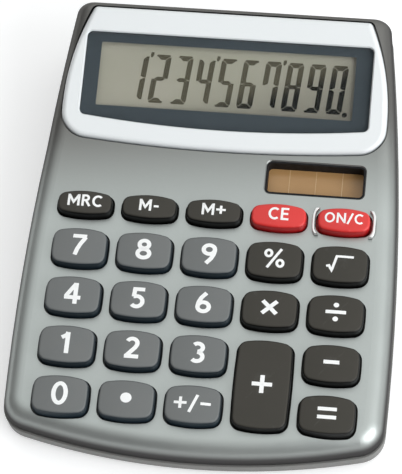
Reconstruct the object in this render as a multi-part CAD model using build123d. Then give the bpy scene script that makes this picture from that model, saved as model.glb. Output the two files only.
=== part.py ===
from build123d import *
import math
import os

# A compact desktop calculator with a sloping keyboard, a raised display and 24 keys.
# Everything above the parting line is drawn on the keyboard deck: X runs to the right,
# Y towards the display, Z out of the deck, with zero in the middle of the body outline.
# stand() then tips it to the deck's slope and sets it on its feet.
# What belongs to the floor of the lower housing is drawn upright, as it stands on a desk.

# Keycaps and the spaces between them
key_width = 15.7
key_depth = 11.3
short_key_depth = 7.5
column_gap = 2.7
row_gap = 3.48
top_row_gap = 4.08
column_count = 5
row_count = 4

# The display window and the bezel around it, measured up the display slope
lens_width = 83.4
lens_height = 27.7
bezel_start = 0.6
bezel_foot_border = 6.3
bezel_head_border = 8.0
bezel_top_border = -1.2
bezel_widest_border = 5.3
bezel_foot_side = 4.7

# What the body leaves around its keyboard and its display, measured on the deck
front_land = 7.84
side_land = 8.5
display_gap = 15.54
display_side_border = 6.15
rear_side_taper = 7.3
rear_margin = 2.61
front_side_taper = 0.4
widest_from_front = 37.4
front_bow = 7.35
front_corner_radius = 7.7
grid_shift = 0.4

# Slopes, in degrees
deck_tilt = 6.0
display_tilt = 8.0
lower_draft = 2.0
key_draft = 2.5

# Housing section
display_blend_radius = 30.0
rim_radius = 5.6
rear_edge_radius = 3.6
wall = 2.0
deck_thickness = 2.0
top_depth = 8.1
front_wall_height = 5.0
lower_edge_radius = 1.5
lower_ledge = 0.5
ledge_edge_radius = 0.2
seam_groove = 0.4
seam_lip_height = 1.1
seam_lip_share = 0.45
foot_height = 1.2

# Clearances
seam_gap = 0.1
key_gap = 0.45
fit_gap = 0.15
screw_gap = 0.03
slide_gap = 0.05

# How far joined solids run into each other, how near an edge counts as lying on a face,
# and how far cuts run past what they cut
weld = 0.05
pick_margin = 0.05
overrun = 4.0

# Keycap form
guarded_key_width = 14.9
key_bow = 1.0
key_side_bow = 0.3
key_corner = 2.8
short_key_corner = 2.4
key_rise = 3.4
key_crown_radius = 62.0
key_edge_radius = 0.8
key_wall = 1.2
key_roof = 1.6
key_travel = 1.6
flange_side = 0.75
flange_end = 1.0
flange_thickness = 0.8
flange_recess = 0.1
stem_diameter = 4.2
stem_drop = 0.6

# Guard ribs beside the switch-on key
guard_thickness = 0.75
guard_height = 1.5
guard_gap = 0.2
guard_land = 0.1
guard_depth = 9.0
guard_reach = 8.1
guard_edge_radius = 0.25

# Keyboard mat and main board, stacked below the deck
dome_spare = 0.2
dome_wall = 0.5
dome_base_diameter = 7.6
short_dome_base_diameter = 6.4
dome_top_diameter = 4.6
dome_roof = 0.8
mat_thickness = 1.0
mat_margin = 1.6
board_thickness = 1.2
board_side_margin = 7.2
board_front_margin = 7.4
board_under_display = 6.9
board_corner = 5.0

# Screw bosses between the keys
boss_diameter = 3.6
boss_relief = 0.3

# Screws
board_screw_diameter = 1.7
board_screw_head = 3.2
board_screw_head_height = 1.1
board_screw_grip = 4.2
housing_screw_diameter = 2.2
housing_screw_head = 4.2
housing_screw_head_height = 1.6
housing_screw_grip = 5.0
screw_slot_share = 0.5
slot_width_share = 0.2

# Housing screw posts
post_diameter = 5.4
side_post_from_side = 5.55
rear_post_from_side = 7.85
rear_post_from_rear = 4.9
well_diameter = 7.0
well_web = 2.4

# Solar window
solar_width = 28.3
solar_height = 10.1
solar_side_inset = 2.95
solar_gap = 4.34
solar_corner = 1.6
solar_chamfer = 0.3
solar_depth = 4.2
solar_frame = 1.2
surround_wall = 0.45
surround_recess = 0.25
solar_cell_margin = 1.0
solar_cell_thickness = 1.1
solar_pad_thickness = 0.3
solar_pad_width = 0.9
solar_link_diameter = 0.6
solar_link_share = 0.38

# Display bezel
bezel_bow = 2.5
bezel_widest_at = 13.0
bezel_foot_radius = 8.0
bezel_top_radius = 1.6
bezel_seat = 2.0
bezel_proud = 0.6
bezel_roll_radius = 1.6
bezel_gap = 0.35
ledge_thickness = 1.2
ledge_overlap = 2.4

# Display window and the pegs that locate the bezel
lens_bow = 2.5
lens_corner = 1.6
lens_thickness = 1.2
lens_sink = 0.35
lens_gap = 0.1
lens_bevel = 0.3
tape_width = 1.2
tape_thickness = 0.15
peg_diameter = 2.0
peg_length = 1.8
peg_reach = 20.0
peg_from_foot = 2.8
peg_from_top = 3.8

# Liquid crystal panel, its backing and its bracket
panel_side_inset = 2.2
panel_start_inset = 2.1
panel_top_lap = 0.4
contact_strip = 2.4
glass_thickness = 0.7
film_thickness = 0.2
film_inset = 0.8
panel_drop = 0.1
opening_margin = 1.0
bracket_side_border = 4.4
bracket_start_inset = 2.7
bracket_top_border = 1.8
bracket_thickness = 1.4
bracket_corner = 2.5
bracket_screw_from_side = 2.0
bracket_screw_from_start = 2.3
bracket_screw_from_top = 5.8
bracket_screw_grip = 1.0

# Ribbon from the panel to the board
ribbon_side_inset = 10.5
ribbon_thickness = 0.2
ribbon_lap = 2.2
ribbon_landing = 3.0
ribbon_bend = 1.4
ribbon_slack = 0.8

# Parts on the underside of the board
chip_diameter = 13.0
chip_height = 1.7
chip_x = -14.0
chip_from_front = 78.0
capacitor_diameter = 5.0
capacitor_length = 7.0
capacitor_x = 24.0
capacitor_from_front = 84.0
resistor_length = 3.2
resistor_width = 1.6
resistor_height = 0.6
resistor_pitch = 5.0
resistor_count = 4
resistor_x = 6.0
resistor_from_front = 66.0

# Battery bay, measured from the rear of the standing body
cell_diameter = 11.6
cell_height = 5.4
cell_gap = 0.3
cell_x = 0.0
cell_from_rear = 17.4
cup_wall = 1.3
cup_roof = 1.2
cup_headroom = 1.4
contact_width = 4.0
contact_thickness = 0.3
contact_tab = 2.0
contact_reach = 3.6
contact_bend = 0.8
side_contact_width = 2.0
lead_diameter = 0.9
lead_bend = 1.2
lead_rise = 1.8
lead_run = 25.0

# Battery door
door_width = 20.0
door_length = 26.4
door_thickness = 1.4
door_gap = 0.12
door_tongue = 0.9
door_tongue_thickness = 0.7
door_lip = 0.65
grip_count = 4
grip_length = 11.0
grip_width = 0.8
grip_height = 0.4
grip_pitch = 2.0
grip_from_front = 11.0

# Feet
foot_diameter = 9.0
foot_recess = 0.6
foot_edge = 0.4
front_foot_x = 38.0
front_foot_from_front = 14.0
rear_foot_x = 36.0
rear_foot_from_rear = 14.0

# Stiffening ribs in the lower housing
rib_thickness = 1.2
rib_height = 3.0
rib_reach = 34.0
rib_from_middle = 24.0

# The keyboard's pitches, and how far it reaches from the front
column_pitch = key_width + column_gap
row_pitch = key_depth + row_gap
top_row_pitch = (key_depth + short_key_depth) / 2 + top_row_gap
front_margin = front_land + key_depth / 2
keyboard_width = (column_count - 1) * column_pitch + key_width
keyboard_from_front = front_margin + (row_count - 1) * row_pitch + top_row_pitch + short_key_depth / 2
sine = math.sin(math.radians(display_tilt))
cosine = math.cos(math.radians(display_tilt))

# The window, the bezel and what lies behind them
lens_start = bezel_start + bezel_foot_border
lens_top = lens_start + lens_height
bezel_top = lens_top + bezel_head_border
bezel_top_width = lens_width + 2 * bezel_top_border
bezel_widest = lens_width + 2 * bezel_widest_border
bezel_foot_width = lens_width + 2 * bezel_foot_side
peg_low = bezel_start + peg_from_foot
peg_high = bezel_top - peg_from_top
panel_width = lens_width - 2 * panel_side_inset
panel_start = lens_start + panel_start_inset
panel_top = lens_top + panel_top_lap
bracket_width = panel_width + 2 * bracket_side_border
bracket_start = panel_start + bracket_start_inset
bracket_top = panel_top + bracket_top_border
bracket_screw_reach = bracket_width / 2 - bracket_screw_from_side
bracket_screw_low = bracket_start + bracket_screw_from_start
bracket_screw_high = bracket_top - bracket_screw_from_top
ribbon_width = panel_width - 2 * ribbon_side_inset

# The body is as wide as its keyboard or its display needs, and as long as both together
display_from_front = keyboard_from_front + display_gap
body_length = display_from_front + bezel_top * cosine + rear_margin
body_width = max(keyboard_width + 2 * side_land, bezel_widest + 2 * display_side_border)
front_corner_width = body_width - 2 * front_side_taper
rear_corner_width = body_width - 2 * rear_side_taper
front_y = -body_length / 2
rear_y = body_length / 2
display_start_y = front_y + display_from_front
dome_height = key_travel + dome_spare
flange_ceiling = flange_recess - deck_thickness
flange_top = flange_ceiling - slide_gap
flange_bottom = flange_top - flange_thickness
stem_bottom = flange_bottom - stem_drop
mat_top = stem_bottom - dome_height
board_top = mat_top - mat_thickness
board_bottom = board_top - board_thickness
board_width = (column_count - 1) * column_pitch + 2 * board_side_margin
board_front_y = front_y + board_front_margin
board_rear_y = display_start_y + board_under_display
middle_column = (column_count - 1) / 2
columns = [(column - middle_column) * column_pitch + grid_shift for column in range(column_count)]
rows = [front_y + front_margin + row * row_pitch for row in range(row_count)]
top_row_y = rows[-1] + top_row_pitch
display = Plane(origin=(0, display_start_y, 0), x_dir=(1, 0, 0), z_dir=(0, -sine, cosine))

# Heights on the display slope, out of the slope
bezel_bottom = -bezel_seat
ledge_bottom = bezel_bottom - ledge_thickness
lens_face = bezel_proud - lens_sink
lens_back = lens_face - lens_thickness
panel_face = bezel_bottom - panel_drop
front_glass_face = panel_face - film_thickness
rear_glass_face = front_glass_face - glass_thickness
reflector_face = rear_glass_face - glass_thickness
panel_back = reflector_face - film_thickness

# The standing body: the front edge of the parting line stands this far above the desk
parting_front_height = foot_height + front_wall_height
tilt_sine = math.sin(math.radians(deck_tilt))
tilt_cosine = math.cos(math.radians(deck_tilt))
deck_height = parting_front_height + body_length / 2 * tilt_sine + top_depth * tilt_cosine


# Centre and radius of the circle through three points
def circle_through(first, second, third):
    ax, ay = first[0] - third[0], first[1] - third[1]
    bx, by = second[0] - third[0], second[1] - third[1]
    cross = 2 * (ax * by - ay * bx)
    a_square = ax * ax + ay * ay
    b_square = bx * bx + by * by
    x = (by * a_square - ay * b_square) / cross
    y = (ax * b_square - bx * a_square) / cross
    return (third[0] + x, third[1] + y), math.hypot(x, y)


# Where the side's circle and the front's circle cross, on the right
def front_corner(side_centre, side_radius, front_centre, front_radius):
    dx = front_centre[0] - side_centre[0]
    dy = front_centre[1] - side_centre[1]
    apart = math.hypot(dx, dy)
    along = (side_radius**2 - front_radius**2 + apart**2) / (2 * apart)
    aside = math.sqrt(side_radius**2 - along**2)
    crossings = [
        (
            side_centre[0] + (along * dx + turn * aside * dy) / apart,
            side_centre[1] + (along * dy - turn * aside * dx) / apart,
        )
        for turn in (-1, 1)
    ]
    return max(crossings)


# The body's outline, moved in by an inset: bowed front, curved sides, straight rear
def body_outline(inset, square_rear=False):
    corner = (front_corner_width / 2, front_y + front_bow)
    widest_y = front_y + widest_from_front
    side_centre, side_radius = circle_through(
        corner, (body_width / 2, widest_y), (rear_corner_width / 2, rear_y)
    )
    front_centre, front_radius = circle_through(corner, (0, front_y), (-corner[0], corner[1]))
    side_radius -= inset
    front_radius -= inset
    front_x, front_corner_y = front_corner(side_centre, side_radius, front_centre, front_radius)
    rear_line = rear_y - inset
    rear_x = side_centre[0] + math.sqrt(side_radius**2 - (rear_line - side_centre[1]) ** 2)
    side_x = side_centre[0] + math.sqrt(side_radius**2 - (widest_y - side_centre[1]) ** 2)
    right = ThreePointArc((front_x, front_corner_y), (side_x, widest_y), (rear_x, rear_line))
    left = ThreePointArc((-rear_x, rear_line), (-side_x, widest_y), (-front_x, front_corner_y))
    front = ThreePointArc(left @ 1, (0, front_y + inset), right @ 0)
    outline = make_face(Curve() + [right, Line(right @ 1, left @ 0), left, front])
    outline = fillet(outline.vertices().group_by(Axis.Y)[0], front_corner_radius - inset)
    if not square_rear:
        outline = fillet(outline.vertices().group_by(Axis.Y)[-1], rear_edge_radius - inset)
    return outline


# The space below the deck and display surfaces, each lowered by the same drop
def under_surface(drop):
    turn = math.radians(display_tilt)
    centre_y = display_start_y - display_blend_radius * math.tan(turn / 2)
    radius = display_blend_radius + drop
    low = (centre_y, -drop)
    middle = (
        centre_y + radius * math.sin(turn / 2),
        display_blend_radius - radius * math.cos(turn / 2),
    )
    high = (centre_y + radius * sine, display_blend_radius - radius * cosine)
    far = (high[0] + body_length * cosine, high[1] + body_length * sine)
    edge = [
        Line((-body_length, -drop), low),
        ThreePointArc(low, middle, high),
        Polyline(high, far, (far[0], -body_length), (-body_length, -body_length), (-body_length, -drop)),
    ]
    return extrude(Plane.YZ * make_face(Curve() + edge), body_width, both=True)


# A solid of the upper housing's form: flat deck, display slope, rounded rim and rear edge
def upper_form(inset, drop, rim, rear_edge):
    block = extrude(Pos(0, 0, -top_depth) * body_outline(inset, True), top_depth + body_length / 2)
    form = block & under_surface(drop)
    top_faces = [face for face in form.faces() if face.normal_at().Z > cosine - sine]
    rim_edges = []
    for face in top_faces:
        for edge in face.edges():
            shared = sum(1 for other in top_faces for e in other.edges() if e.is_same(edge))
            at_rear = edge.center().Y > rear_y - inset - pick_margin
            if shared == 1 and not at_rear:
                rim_edges.append(edge)
    form = fillet(rim_edges, rim)
    rear_face = form.faces().sort_by(Axis.Y)[-1]
    rear_edges = [e for e in rear_face.edges() if e.center().Z > -top_depth + pick_margin]
    return fillet(rear_edges, rear_edge)


def key_outline(width, depth, corner, grow=0):
    side = width / 2 + grow
    end = depth / 2 + grow
    corner_x = side - key_side_bow
    corner_y = end - key_bow
    top = ThreePointArc((-corner_x, corner_y), (0, end), (corner_x, corner_y))
    right = ThreePointArc((corner_x, corner_y), (side, 0), (corner_x, -corner_y))
    bottom = ThreePointArc((corner_x, -corner_y), (0, -end), (-corner_x, -corner_y))
    left = ThreePointArc((-corner_x, -corner_y), (-side, 0), (-corner_x, corner_y))
    outline = make_face(Curve() + [top, right, bottom, left])
    return fillet(outline.vertices(), corner + grow)


# The flange around the foot of a keycap, which stops it under the deck
def flange_outline(width, depth, corner, grow=0):
    flange_width = width + 2 * flange_side
    flange_depth = depth + 2 * flange_end
    return key_outline(flange_width, flange_depth, corner + flange_side, grow)


# Every key: name, place, outline width, depth and corner radius
def key_table():
    tall_depth = key_depth + row_pitch
    table = []
    digit_names = [
        ["key_0", "key_point", "key_sign"],
        ["key_1", "key_2", "key_3"],
        ["key_4", "key_5", "key_6"],
        ["key_7", "key_8", "key_9"],
    ]
    for row, names in enumerate(digit_names):
        for column, name in enumerate(names):
            table.append((name, columns[column], rows[row], key_width, key_depth, key_corner))
    tall_y = (rows[0] + rows[1]) / 2
    table.append(("key_plus", columns[3], tall_y, key_width, tall_depth, key_corner))
    table.append(("key_times", columns[3], rows[2], key_width, key_depth, key_corner))
    table.append(("key_percent", columns[3], rows[3], key_width, key_depth, key_corner))
    last_column = ["key_equals", "key_minus", "key_divide", "key_root"]
    for row, name in enumerate(last_column):
        table.append((name, columns[4], rows[row], key_width, key_depth, key_corner))
    top_names = ["key_memory_recall", "key_memory_minus", "key_memory_plus", "key_clear_entry"]
    for column, name in enumerate(top_names):
        place = (columns[column], top_row_y, key_width, short_key_depth, short_key_corner)
        table.append((name, *place))
    place = (columns[4], top_row_y, guarded_key_width, short_key_depth, short_key_corner)
    table.append(("key_on", *place))
    return table


keys = key_table()
junction_x = [(a + b) / 2 for a, b in zip(columns, columns[1:])]
junction_y = [(a + b) / 2 for a, b in zip(rows, rows[1:])]
board_screw_places = [
    (junction_x[0], junction_y[0]),
    (junction_x[0], junction_y[2]),
    (junction_x[1], junction_y[0]),
    (junction_x[2], junction_y[1]),
    (junction_x[3], junction_y[1]),
    (junction_x[3], junction_y[2]),
]
side_post_reach = body_width / 2 - side_post_from_side
rear_post_reach = rear_corner_width / 2 - rear_post_from_side
post_places = [
    (-side_post_reach, junction_y[0]),
    (side_post_reach, junction_y[0]),
    (-rear_post_reach, rear_y - rear_post_from_rear),
    (rear_post_reach, rear_y - rear_post_from_rear),
]
solar_x = columns[-1] + key_width / 2 - solar_side_inset - solar_width / 2
solar_y = front_y + keyboard_from_front + solar_gap + solar_height / 2
solar_cell_top = -solar_depth - solar_pad_thickness
solar_cell_bottom = solar_cell_top - solar_cell_thickness
peg_places = [(x, s) for x in (-peg_reach, peg_reach) for s in (peg_low, peg_high)]
bracket_screw_places = [
    (x, s)
    for x in (-bracket_screw_reach, bracket_screw_reach)
    for s in (bracket_screw_low, bracket_screw_high)
]


# A round bar along Z between two heights
def bar(x, y, low, high, diameter):
    return Pos(x, y, (low + high) / 2) * Cylinder(diameter / 2, high - low)


# A block with rounded upright corners between two heights
def slab(x, y, low, high, width, depth, corner):
    return extrude(Pos(x, y, low) * RectangleRounded(width, depth, corner), high - low)


# A ring of constant width inside an outline
def frame(outline, border, low, high):
    ring = outline - offset(outline, -border)
    return extrude(Pos(0, 0, low) * ring, high - low)


# A pan-head screw along Z, its cross slot in the head; tip up
def screw(x, y, head_bottom, head_height, tip, diameter, head_diameter):
    head = bar(x, y, head_bottom, head_bottom + head_height, head_diameter)
    shank = bar(x, y, head_bottom + head_height / 2, tip, diameter)
    body = head + shank
    slot_length = head_diameter * (1 - slot_width_share)
    slot_width = head_diameter * slot_width_share
    slot = Box(slot_length, slot_width, head_height * screw_slot_share * 2)
    slot += Box(slot_width, slot_length, head_height * screw_slot_share * 2)
    return body - Pos(x, y, head_bottom) * slot


def bezel_outline(grow=0):
    foot = (bezel_foot_width / 2 + grow, bezel_start + bezel_bow - grow)
    side = (bezel_widest / 2 + grow, bezel_widest_at)
    top = (bezel_top_width / 2 + grow, bezel_top + grow)
    right = ThreePointArc(foot, side, top)
    left = ThreePointArc((-top[0], top[1]), (-side[0], side[1]), (-foot[0], foot[1]))
    front = ThreePointArc(left @ 1, (0, bezel_start - grow), right @ 0)
    outline = make_face(Curve() + [right, Line(right @ 1, left @ 0), left, front])
    foot_corners = outline.vertices().group_by(Axis.Y)[0]
    outline = fillet(foot_corners, bezel_foot_radius + grow)
    top_corners = outline.vertices().group_by(Axis.Y)[-1]
    return fillet(top_corners, bezel_top_radius + grow)


def lens_outline(grow=0):
    side = lens_width / 2 + grow
    corner_y = lens_start + lens_bow - grow
    top_y = lens_top + grow
    edge = Polyline((side, corner_y), (side, top_y), (-side, top_y), (-side, corner_y))
    foot = ThreePointArc((-side, corner_y), (0, lens_start - grow), (side, corner_y))
    outline = make_face(Curve() + [edge, foot])
    return fillet(outline.vertices(), lens_corner + grow)


# A sheet or block on the display slope, from one height to another
def on_slope(outline, low, high):
    flat = extrude(Pos(0, 0, low) * outline, high - low)
    return display.location * flat


# A rectangle on the display slope between two distances up it
def slope_rectangle(width, start, end):
    return Pos(0, (start + end) / 2) * Rectangle(width, end - start)


def make_top_housing():
    outer = upper_form(0, 0, rim_radius, rear_edge_radius)
    inner = upper_form(wall, deck_thickness, rim_radius - wall, rear_edge_radius - wall)
    shell = outer - inner
    lip_space = wall * seam_lip_share
    rebate = extrude(Pos(0, 0, -top_depth) * body_outline(lip_space), seam_lip_height + seam_gap)
    shell -= rebate
    groove = body_outline(-lower_ledge) - body_outline(seam_groove)
    shell -= extrude(Pos(0, 0, -top_depth) * groove, seam_groove)

    # The ledge that carries the bezel, and the opening for the panel through it
    ledge = on_slope(bezel_outline(ledge_overlap), ledge_bottom, bezel_bottom + weld) & outer
    opening = slope_rectangle(
        panel_width + 2 * opening_margin,
        panel_start - 2 * opening_margin,
        panel_top + opening_margin,
    )
    shell += ledge
    shell -= on_slope(opening, ledge_bottom - overrun, bezel_bottom + overrun)

    # Solar window with its frame below the deck
    frame_width = solar_width + 2 * solar_frame
    frame_height = solar_height + 2 * solar_frame
    shell += slab(
        solar_x, solar_y, -solar_depth, -deck_thickness / 2, frame_width, frame_height, solar_corner
    )
    shell -= slab(
        solar_x, solar_y, -solar_depth - overrun, overrun, solar_width, solar_height, solar_corner
    )
    rim = Pos(solar_x, solar_y, -solar_chamfer) * RectangleRounded(solar_width, solar_height, solar_corner)
    shell -= extrude(rim, 2 * solar_chamfer, taper=-45)

    # Bosses that carry the board between the keys, and the posts for the housing screws
    for x, y in board_screw_places:
        shell += bar(x, y, board_top, -deck_thickness / 2, boss_diameter)
    for x, y in post_places:
        shell += bar(x, y, -top_depth, body_length, post_diameter) & outer
    shell -= on_slope(bezel_outline(bezel_gap), bezel_bottom, bezel_bottom + body_length)
    peg_hole = peg_diameter + 2 * fit_gap
    for x, s in peg_places:
        shell -= display.location * bar(x, s, ledge_bottom - overrun, bezel_bottom, peg_hole)
    small_hole = board_screw_diameter + 2 * screw_gap
    for x, s in bracket_screw_places:
        hole = bar(x, s, ledge_bottom - overrun, bezel_bottom + weld, small_hole)
        shell -= display.location * hole
    for x, y in board_screw_places:
        tip = board_bottom + board_screw_grip
        shell -= bar(x, y, board_top - overrun, tip + fit_gap, small_hole)
    for x, y in post_places:
        tip = -top_depth + housing_screw_grip
        hole = housing_screw_diameter + 2 * screw_gap
        shell -= bar(x, y, -top_depth - overrun, tip + fit_gap, hole)

    # Guard ribs around the switch-on key
    guard_space = key_gap + guard_gap + guard_land
    guard_outer = key_outline(
        guarded_key_width, guard_depth, short_key_corner, guard_space + guard_thickness
    )
    guard_inner = key_outline(guarded_key_width, guard_depth, short_key_corner, guard_space)
    ring = guard_outer - guard_inner
    ring &= Rectangle(2 * guarded_key_width, guard_reach)
    ring -= Rectangle(guarded_key_width - short_key_corner, 2 * guard_depth)
    guard_low = -deck_thickness / 2
    guards = extrude(Pos(columns[4], top_row_y, guard_low) * ring, guard_height - guard_low)
    guard_tops = [face for face in guards.faces() if face.center().Z > guard_height - pick_margin]
    guards = fillet([edge for face in guard_tops for edge in face.edges()], guard_edge_radius)
    shell += guards

    # Key holes, and shallow recesses under the deck for the flanges
    for name, x, y, width, depth, corner in keys:
        spare = 2 * guard_gap if width == guarded_key_width else 0
        hole = key_outline(width + spare, depth, corner, key_gap)
        shell -= extrude(Pos(x, y, -deck_thickness - overrun / 2) * hole, overrun + guard_height)
        recess = flange_outline(width, depth, corner, key_gap)
        shell -= extrude(Pos(x, y, flange_ceiling - overrun) * recess, overrun)
    return shell


def make_bezel():
    plate = extrude(Pos(0, 0, bezel_bottom) * bezel_outline(), bezel_proud - bezel_bottom)
    plate = fillet(plate.faces().sort_by(Axis.Z)[-1].edges(), bezel_roll_radius)
    seat = lens_back - tape_thickness
    plate -= extrude(Pos(0, 0, seat) * lens_outline(lens_gap), overrun)
    plate = chamfer(plate.faces().sort_by(Axis.Z)[-1].inner_wires()[0].edges(), lens_bevel)
    plate -= extrude(Pos(0, 0, bezel_bottom - overrun) * lens_outline(-tape_width), 2 * overrun)
    for x, s in peg_places:
        plate += bar(x, s, bezel_bottom - peg_length, bezel_bottom + weld, peg_diameter)
    return display.location * plate


def make_tape():
    ring = lens_outline() - lens_outline(-tape_width)
    return on_slope(ring, lens_back - tape_thickness, lens_back)


# The layers of the liquid crystal panel, from the viewer's side down
def make_panel():
    film_start = panel_start + contact_strip + film_inset
    film_top = panel_top - film_inset
    film = slope_rectangle(panel_width - 2 * film_inset, film_start, film_top)
    front = slope_rectangle(panel_width, panel_start, panel_top)
    rear = slope_rectangle(panel_width, panel_start + contact_strip, panel_top)
    return {
        "lcd_front_film": on_slope(film, front_glass_face, panel_face),
        "lcd_front_glass": on_slope(front, rear_glass_face, front_glass_face),
        "lcd_rear_glass": on_slope(rear, reflector_face, rear_glass_face),
        "lcd_reflector": on_slope(film, panel_back, reflector_face),
    }


def make_bracket():
    middle = (bracket_start + bracket_top) / 2
    height = bracket_top - bracket_start
    outline = Pos(0, middle) * RectangleRounded(bracket_width, height, bracket_corner)
    plate = on_slope(outline, panel_back - bracket_thickness, ledge_bottom)
    well = slope_rectangle(panel_width + 2 * fit_gap, panel_start, panel_top + fit_gap)
    plate -= on_slope(well, panel_back, ledge_bottom + overrun)
    hole = board_screw_diameter + 2 * screw_gap
    for x, s in bracket_screw_places:
        plate -= display.location * bar(x, s, panel_back - overrun, ledge_bottom + overrun, hole)
    return plate


def make_bracket_screws():
    back = panel_back - bracket_thickness
    head_bottom = back - board_screw_head_height
    tip = ledge_bottom + bracket_screw_grip
    screws = []
    for x, s in bracket_screw_places:
        one = screw(
            x, s, head_bottom, board_screw_head_height, tip, board_screw_diameter, board_screw_head
        )
        screws.append(display.location * one)
    return screws


# The flat ribbon runs under the panel's contact strip, drops and lies on the board
def make_ribbon():
    lap_height = rear_glass_face - ribbon_thickness / 2
    lap_start = (display * Pos(0, panel_start + ribbon_lap, lap_height)).position
    lap_end = (display * Pos(0, panel_start - ribbon_slack, lap_height)).position
    rest_height = board_top + ribbon_thickness / 2
    rest_start = board_rear_y - ribbon_slack
    path = FilletPolyline(
        (0, lap_start.Y, lap_start.Z),
        (0, lap_end.Y, lap_end.Z),
        (0, rest_start, rest_height),
        (0, rest_start - ribbon_landing, rest_height),
        radius=ribbon_bend,
    )
    section = Plane(origin=path @ 0, x_dir=(1, 0, 0), z_dir=path % 0)
    return sweep(section * Rectangle(ribbon_width, ribbon_thickness), path)


# A black lining inside the solar window, held against the cell
def make_solar_surround():
    width = solar_width - 2 * slide_gap
    height = solar_height - 2 * slide_gap
    outline = Pos(solar_x, solar_y) * RectangleRounded(width, height, solar_corner)
    inner_width = width - 2 * surround_wall
    inner_height = height - 2 * surround_wall
    corner = solar_corner - surround_wall
    outline -= Pos(solar_x, solar_y) * RectangleRounded(inner_width, inner_height, corner)
    low = solar_cell_top
    return extrude(Pos(0, 0, low) * outline, -surround_recess - low)


def make_solar_pad():
    width = solar_width + 2 * solar_cell_margin
    height = solar_height + 2 * solar_cell_margin
    ring = Pos(solar_x, solar_y) * RectangleRounded(width, height, solar_corner)
    return frame(ring, solar_pad_width, solar_cell_top, -solar_depth)


def make_solar_cell():
    width = solar_width + 2 * solar_cell_margin
    height = solar_height + 2 * solar_cell_margin
    return Pos(solar_x, solar_y, (solar_cell_top + solar_cell_bottom) / 2) * Box(
        width, height, solar_cell_thickness
    )


def make_solar_links():
    reach = solar_width * solar_link_share
    return [
        bar(solar_x + side * reach, solar_y, board_top, solar_cell_bottom, solar_link_diameter)
        for side in (-1, 1)
    ]


# Where each keycap presses the mat; the tall key has two domes
def dome_places():
    places = []
    for name, x, y, width, depth, corner in keys:
        if depth > row_pitch:
            places += [(x, rows[0], dome_base_diameter), (x, rows[1], dome_base_diameter)]
        elif depth < key_depth:
            places.append((x, y, short_dome_base_diameter))
        else:
            places.append((x, y, dome_base_diameter))
    return places


def make_key_mat():
    left = columns[0] - dome_base_diameter / 2 - mat_margin
    right = columns[4] + dome_base_diameter / 2 + mat_margin
    front = rows[0] - dome_base_diameter / 2 - mat_margin
    rear = top_row_y + short_dome_base_diameter / 2 + mat_margin
    middle = ((left + right) / 2, (front + rear) / 2)
    mat = slab(*middle, board_top, mat_top, right - left, rear - front, mat_margin)
    hollow_top = stem_bottom - dome_roof
    for x, y, base in dome_places():
        dome = Cone(base / 2, dome_top_diameter / 2, dome_height)
        mat += Pos(x, y, mat_top + dome_height / 2) * dome
        inside = Cone(base / 2 - dome_wall, dome_top_diameter / 2 - dome_wall, hollow_top - board_top)
        mat -= Pos(x, y, (hollow_top + board_top) / 2) * inside
    for x, y in board_screw_places:
        mat -= bar(x, y, board_top - overrun, stem_bottom, boss_diameter + 2 * boss_relief)
    return mat


def make_board():
    middle_y = (board_front_y + board_rear_y) / 2
    depth = board_rear_y - board_front_y
    board = slab(0, middle_y, board_bottom, board_top, board_width, depth, board_corner)
    for x, y in board_screw_places:
        hole = board_screw_diameter + 2 * fit_gap
        board -= bar(x, y, board_bottom - overrun, board_top + overrun, hole)
    return board


def make_board_screws():
    head_bottom = board_bottom - board_screw_head_height
    tip = board_bottom + board_screw_grip
    return [
        screw(x, y, head_bottom, board_screw_head_height, tip, board_screw_diameter, board_screw_head)
        for x, y in board_screw_places
    ]


# The potting over the chip is a shallow cap of a ball
def make_chip_cover():
    ball = (chip_diameter / 2) ** 2 / (2 * chip_height) + chip_height / 2
    y = front_y + chip_from_front
    cap = Pos(chip_x, y, board_bottom - chip_height + ball) * Sphere(ball)
    return cap & bar(chip_x, y, board_bottom - chip_height, board_bottom, chip_diameter)


def make_capacitor():
    y = front_y + capacitor_from_front
    axis_height = board_bottom - capacitor_diameter / 2
    return Pos(capacitor_x, y, axis_height) * Rot(0, 90, 0) * Cylinder(
        capacitor_diameter / 2, capacitor_length
    )


def make_resistors():
    y = front_y + resistor_from_front
    height = board_bottom - resistor_height / 2
    return [
        Pos(resistor_x + place * resistor_pitch, y, height)
        * Box(resistor_width, resistor_length, resistor_height)
        for place in range(resistor_count)
    ]


def make_key(width, depth, corner):
    crown = key_crown_radius * max(depth, key_depth) / key_depth
    straight = extrude(Pos(0, 0, flange_bottom) * key_outline(width, depth, corner), -flange_bottom)
    height = key_rise + key_edge_radius
    shrink = height * math.tan(math.radians(key_draft))
    upper = Pos(0, 0, height) * key_outline(width, depth, corner, -shrink)
    drafted = loft([key_outline(width, depth, corner), upper], ruled=True)
    cap = (straight + drafted) & Pos(0, 0, key_rise - crown) * Sphere(crown)
    cap = fillet(cap.faces().sort_by(Axis.Z)[-1].edges(), key_edge_radius)
    flange = Pos(0, 0, flange_bottom) * flange_outline(width, depth, corner)
    cap += extrude(flange, flange_thickness)
    roof = key_rise - key_roof
    hollow = key_outline(width, depth, corner, -key_wall)
    cap -= extrude(Pos(0, 0, flange_bottom - overrun) * hollow, roof - flange_bottom + overrun)
    tall = depth > row_pitch
    for y in (-row_pitch / 2, row_pitch / 2) if tall else (0,):
        cap += bar(0, y, stem_bottom, roof + weld, stem_diameter)
    return cap


# The standing body

tilt = Rot(deck_tilt, 0, 0)


# Everything above one height, wide enough for the whole body
def above(height):
    side = 2 * body_length
    return Pos(0, 0, height + side / 2) * Box(side, side, side)


def lower_prism(inset):
    outline = Pos(0, 0, -top_depth) * body_outline(inset)
    return extrude(outline, body_length / 4, dir=(0, 0, -1), taper=lower_draft)


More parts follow.
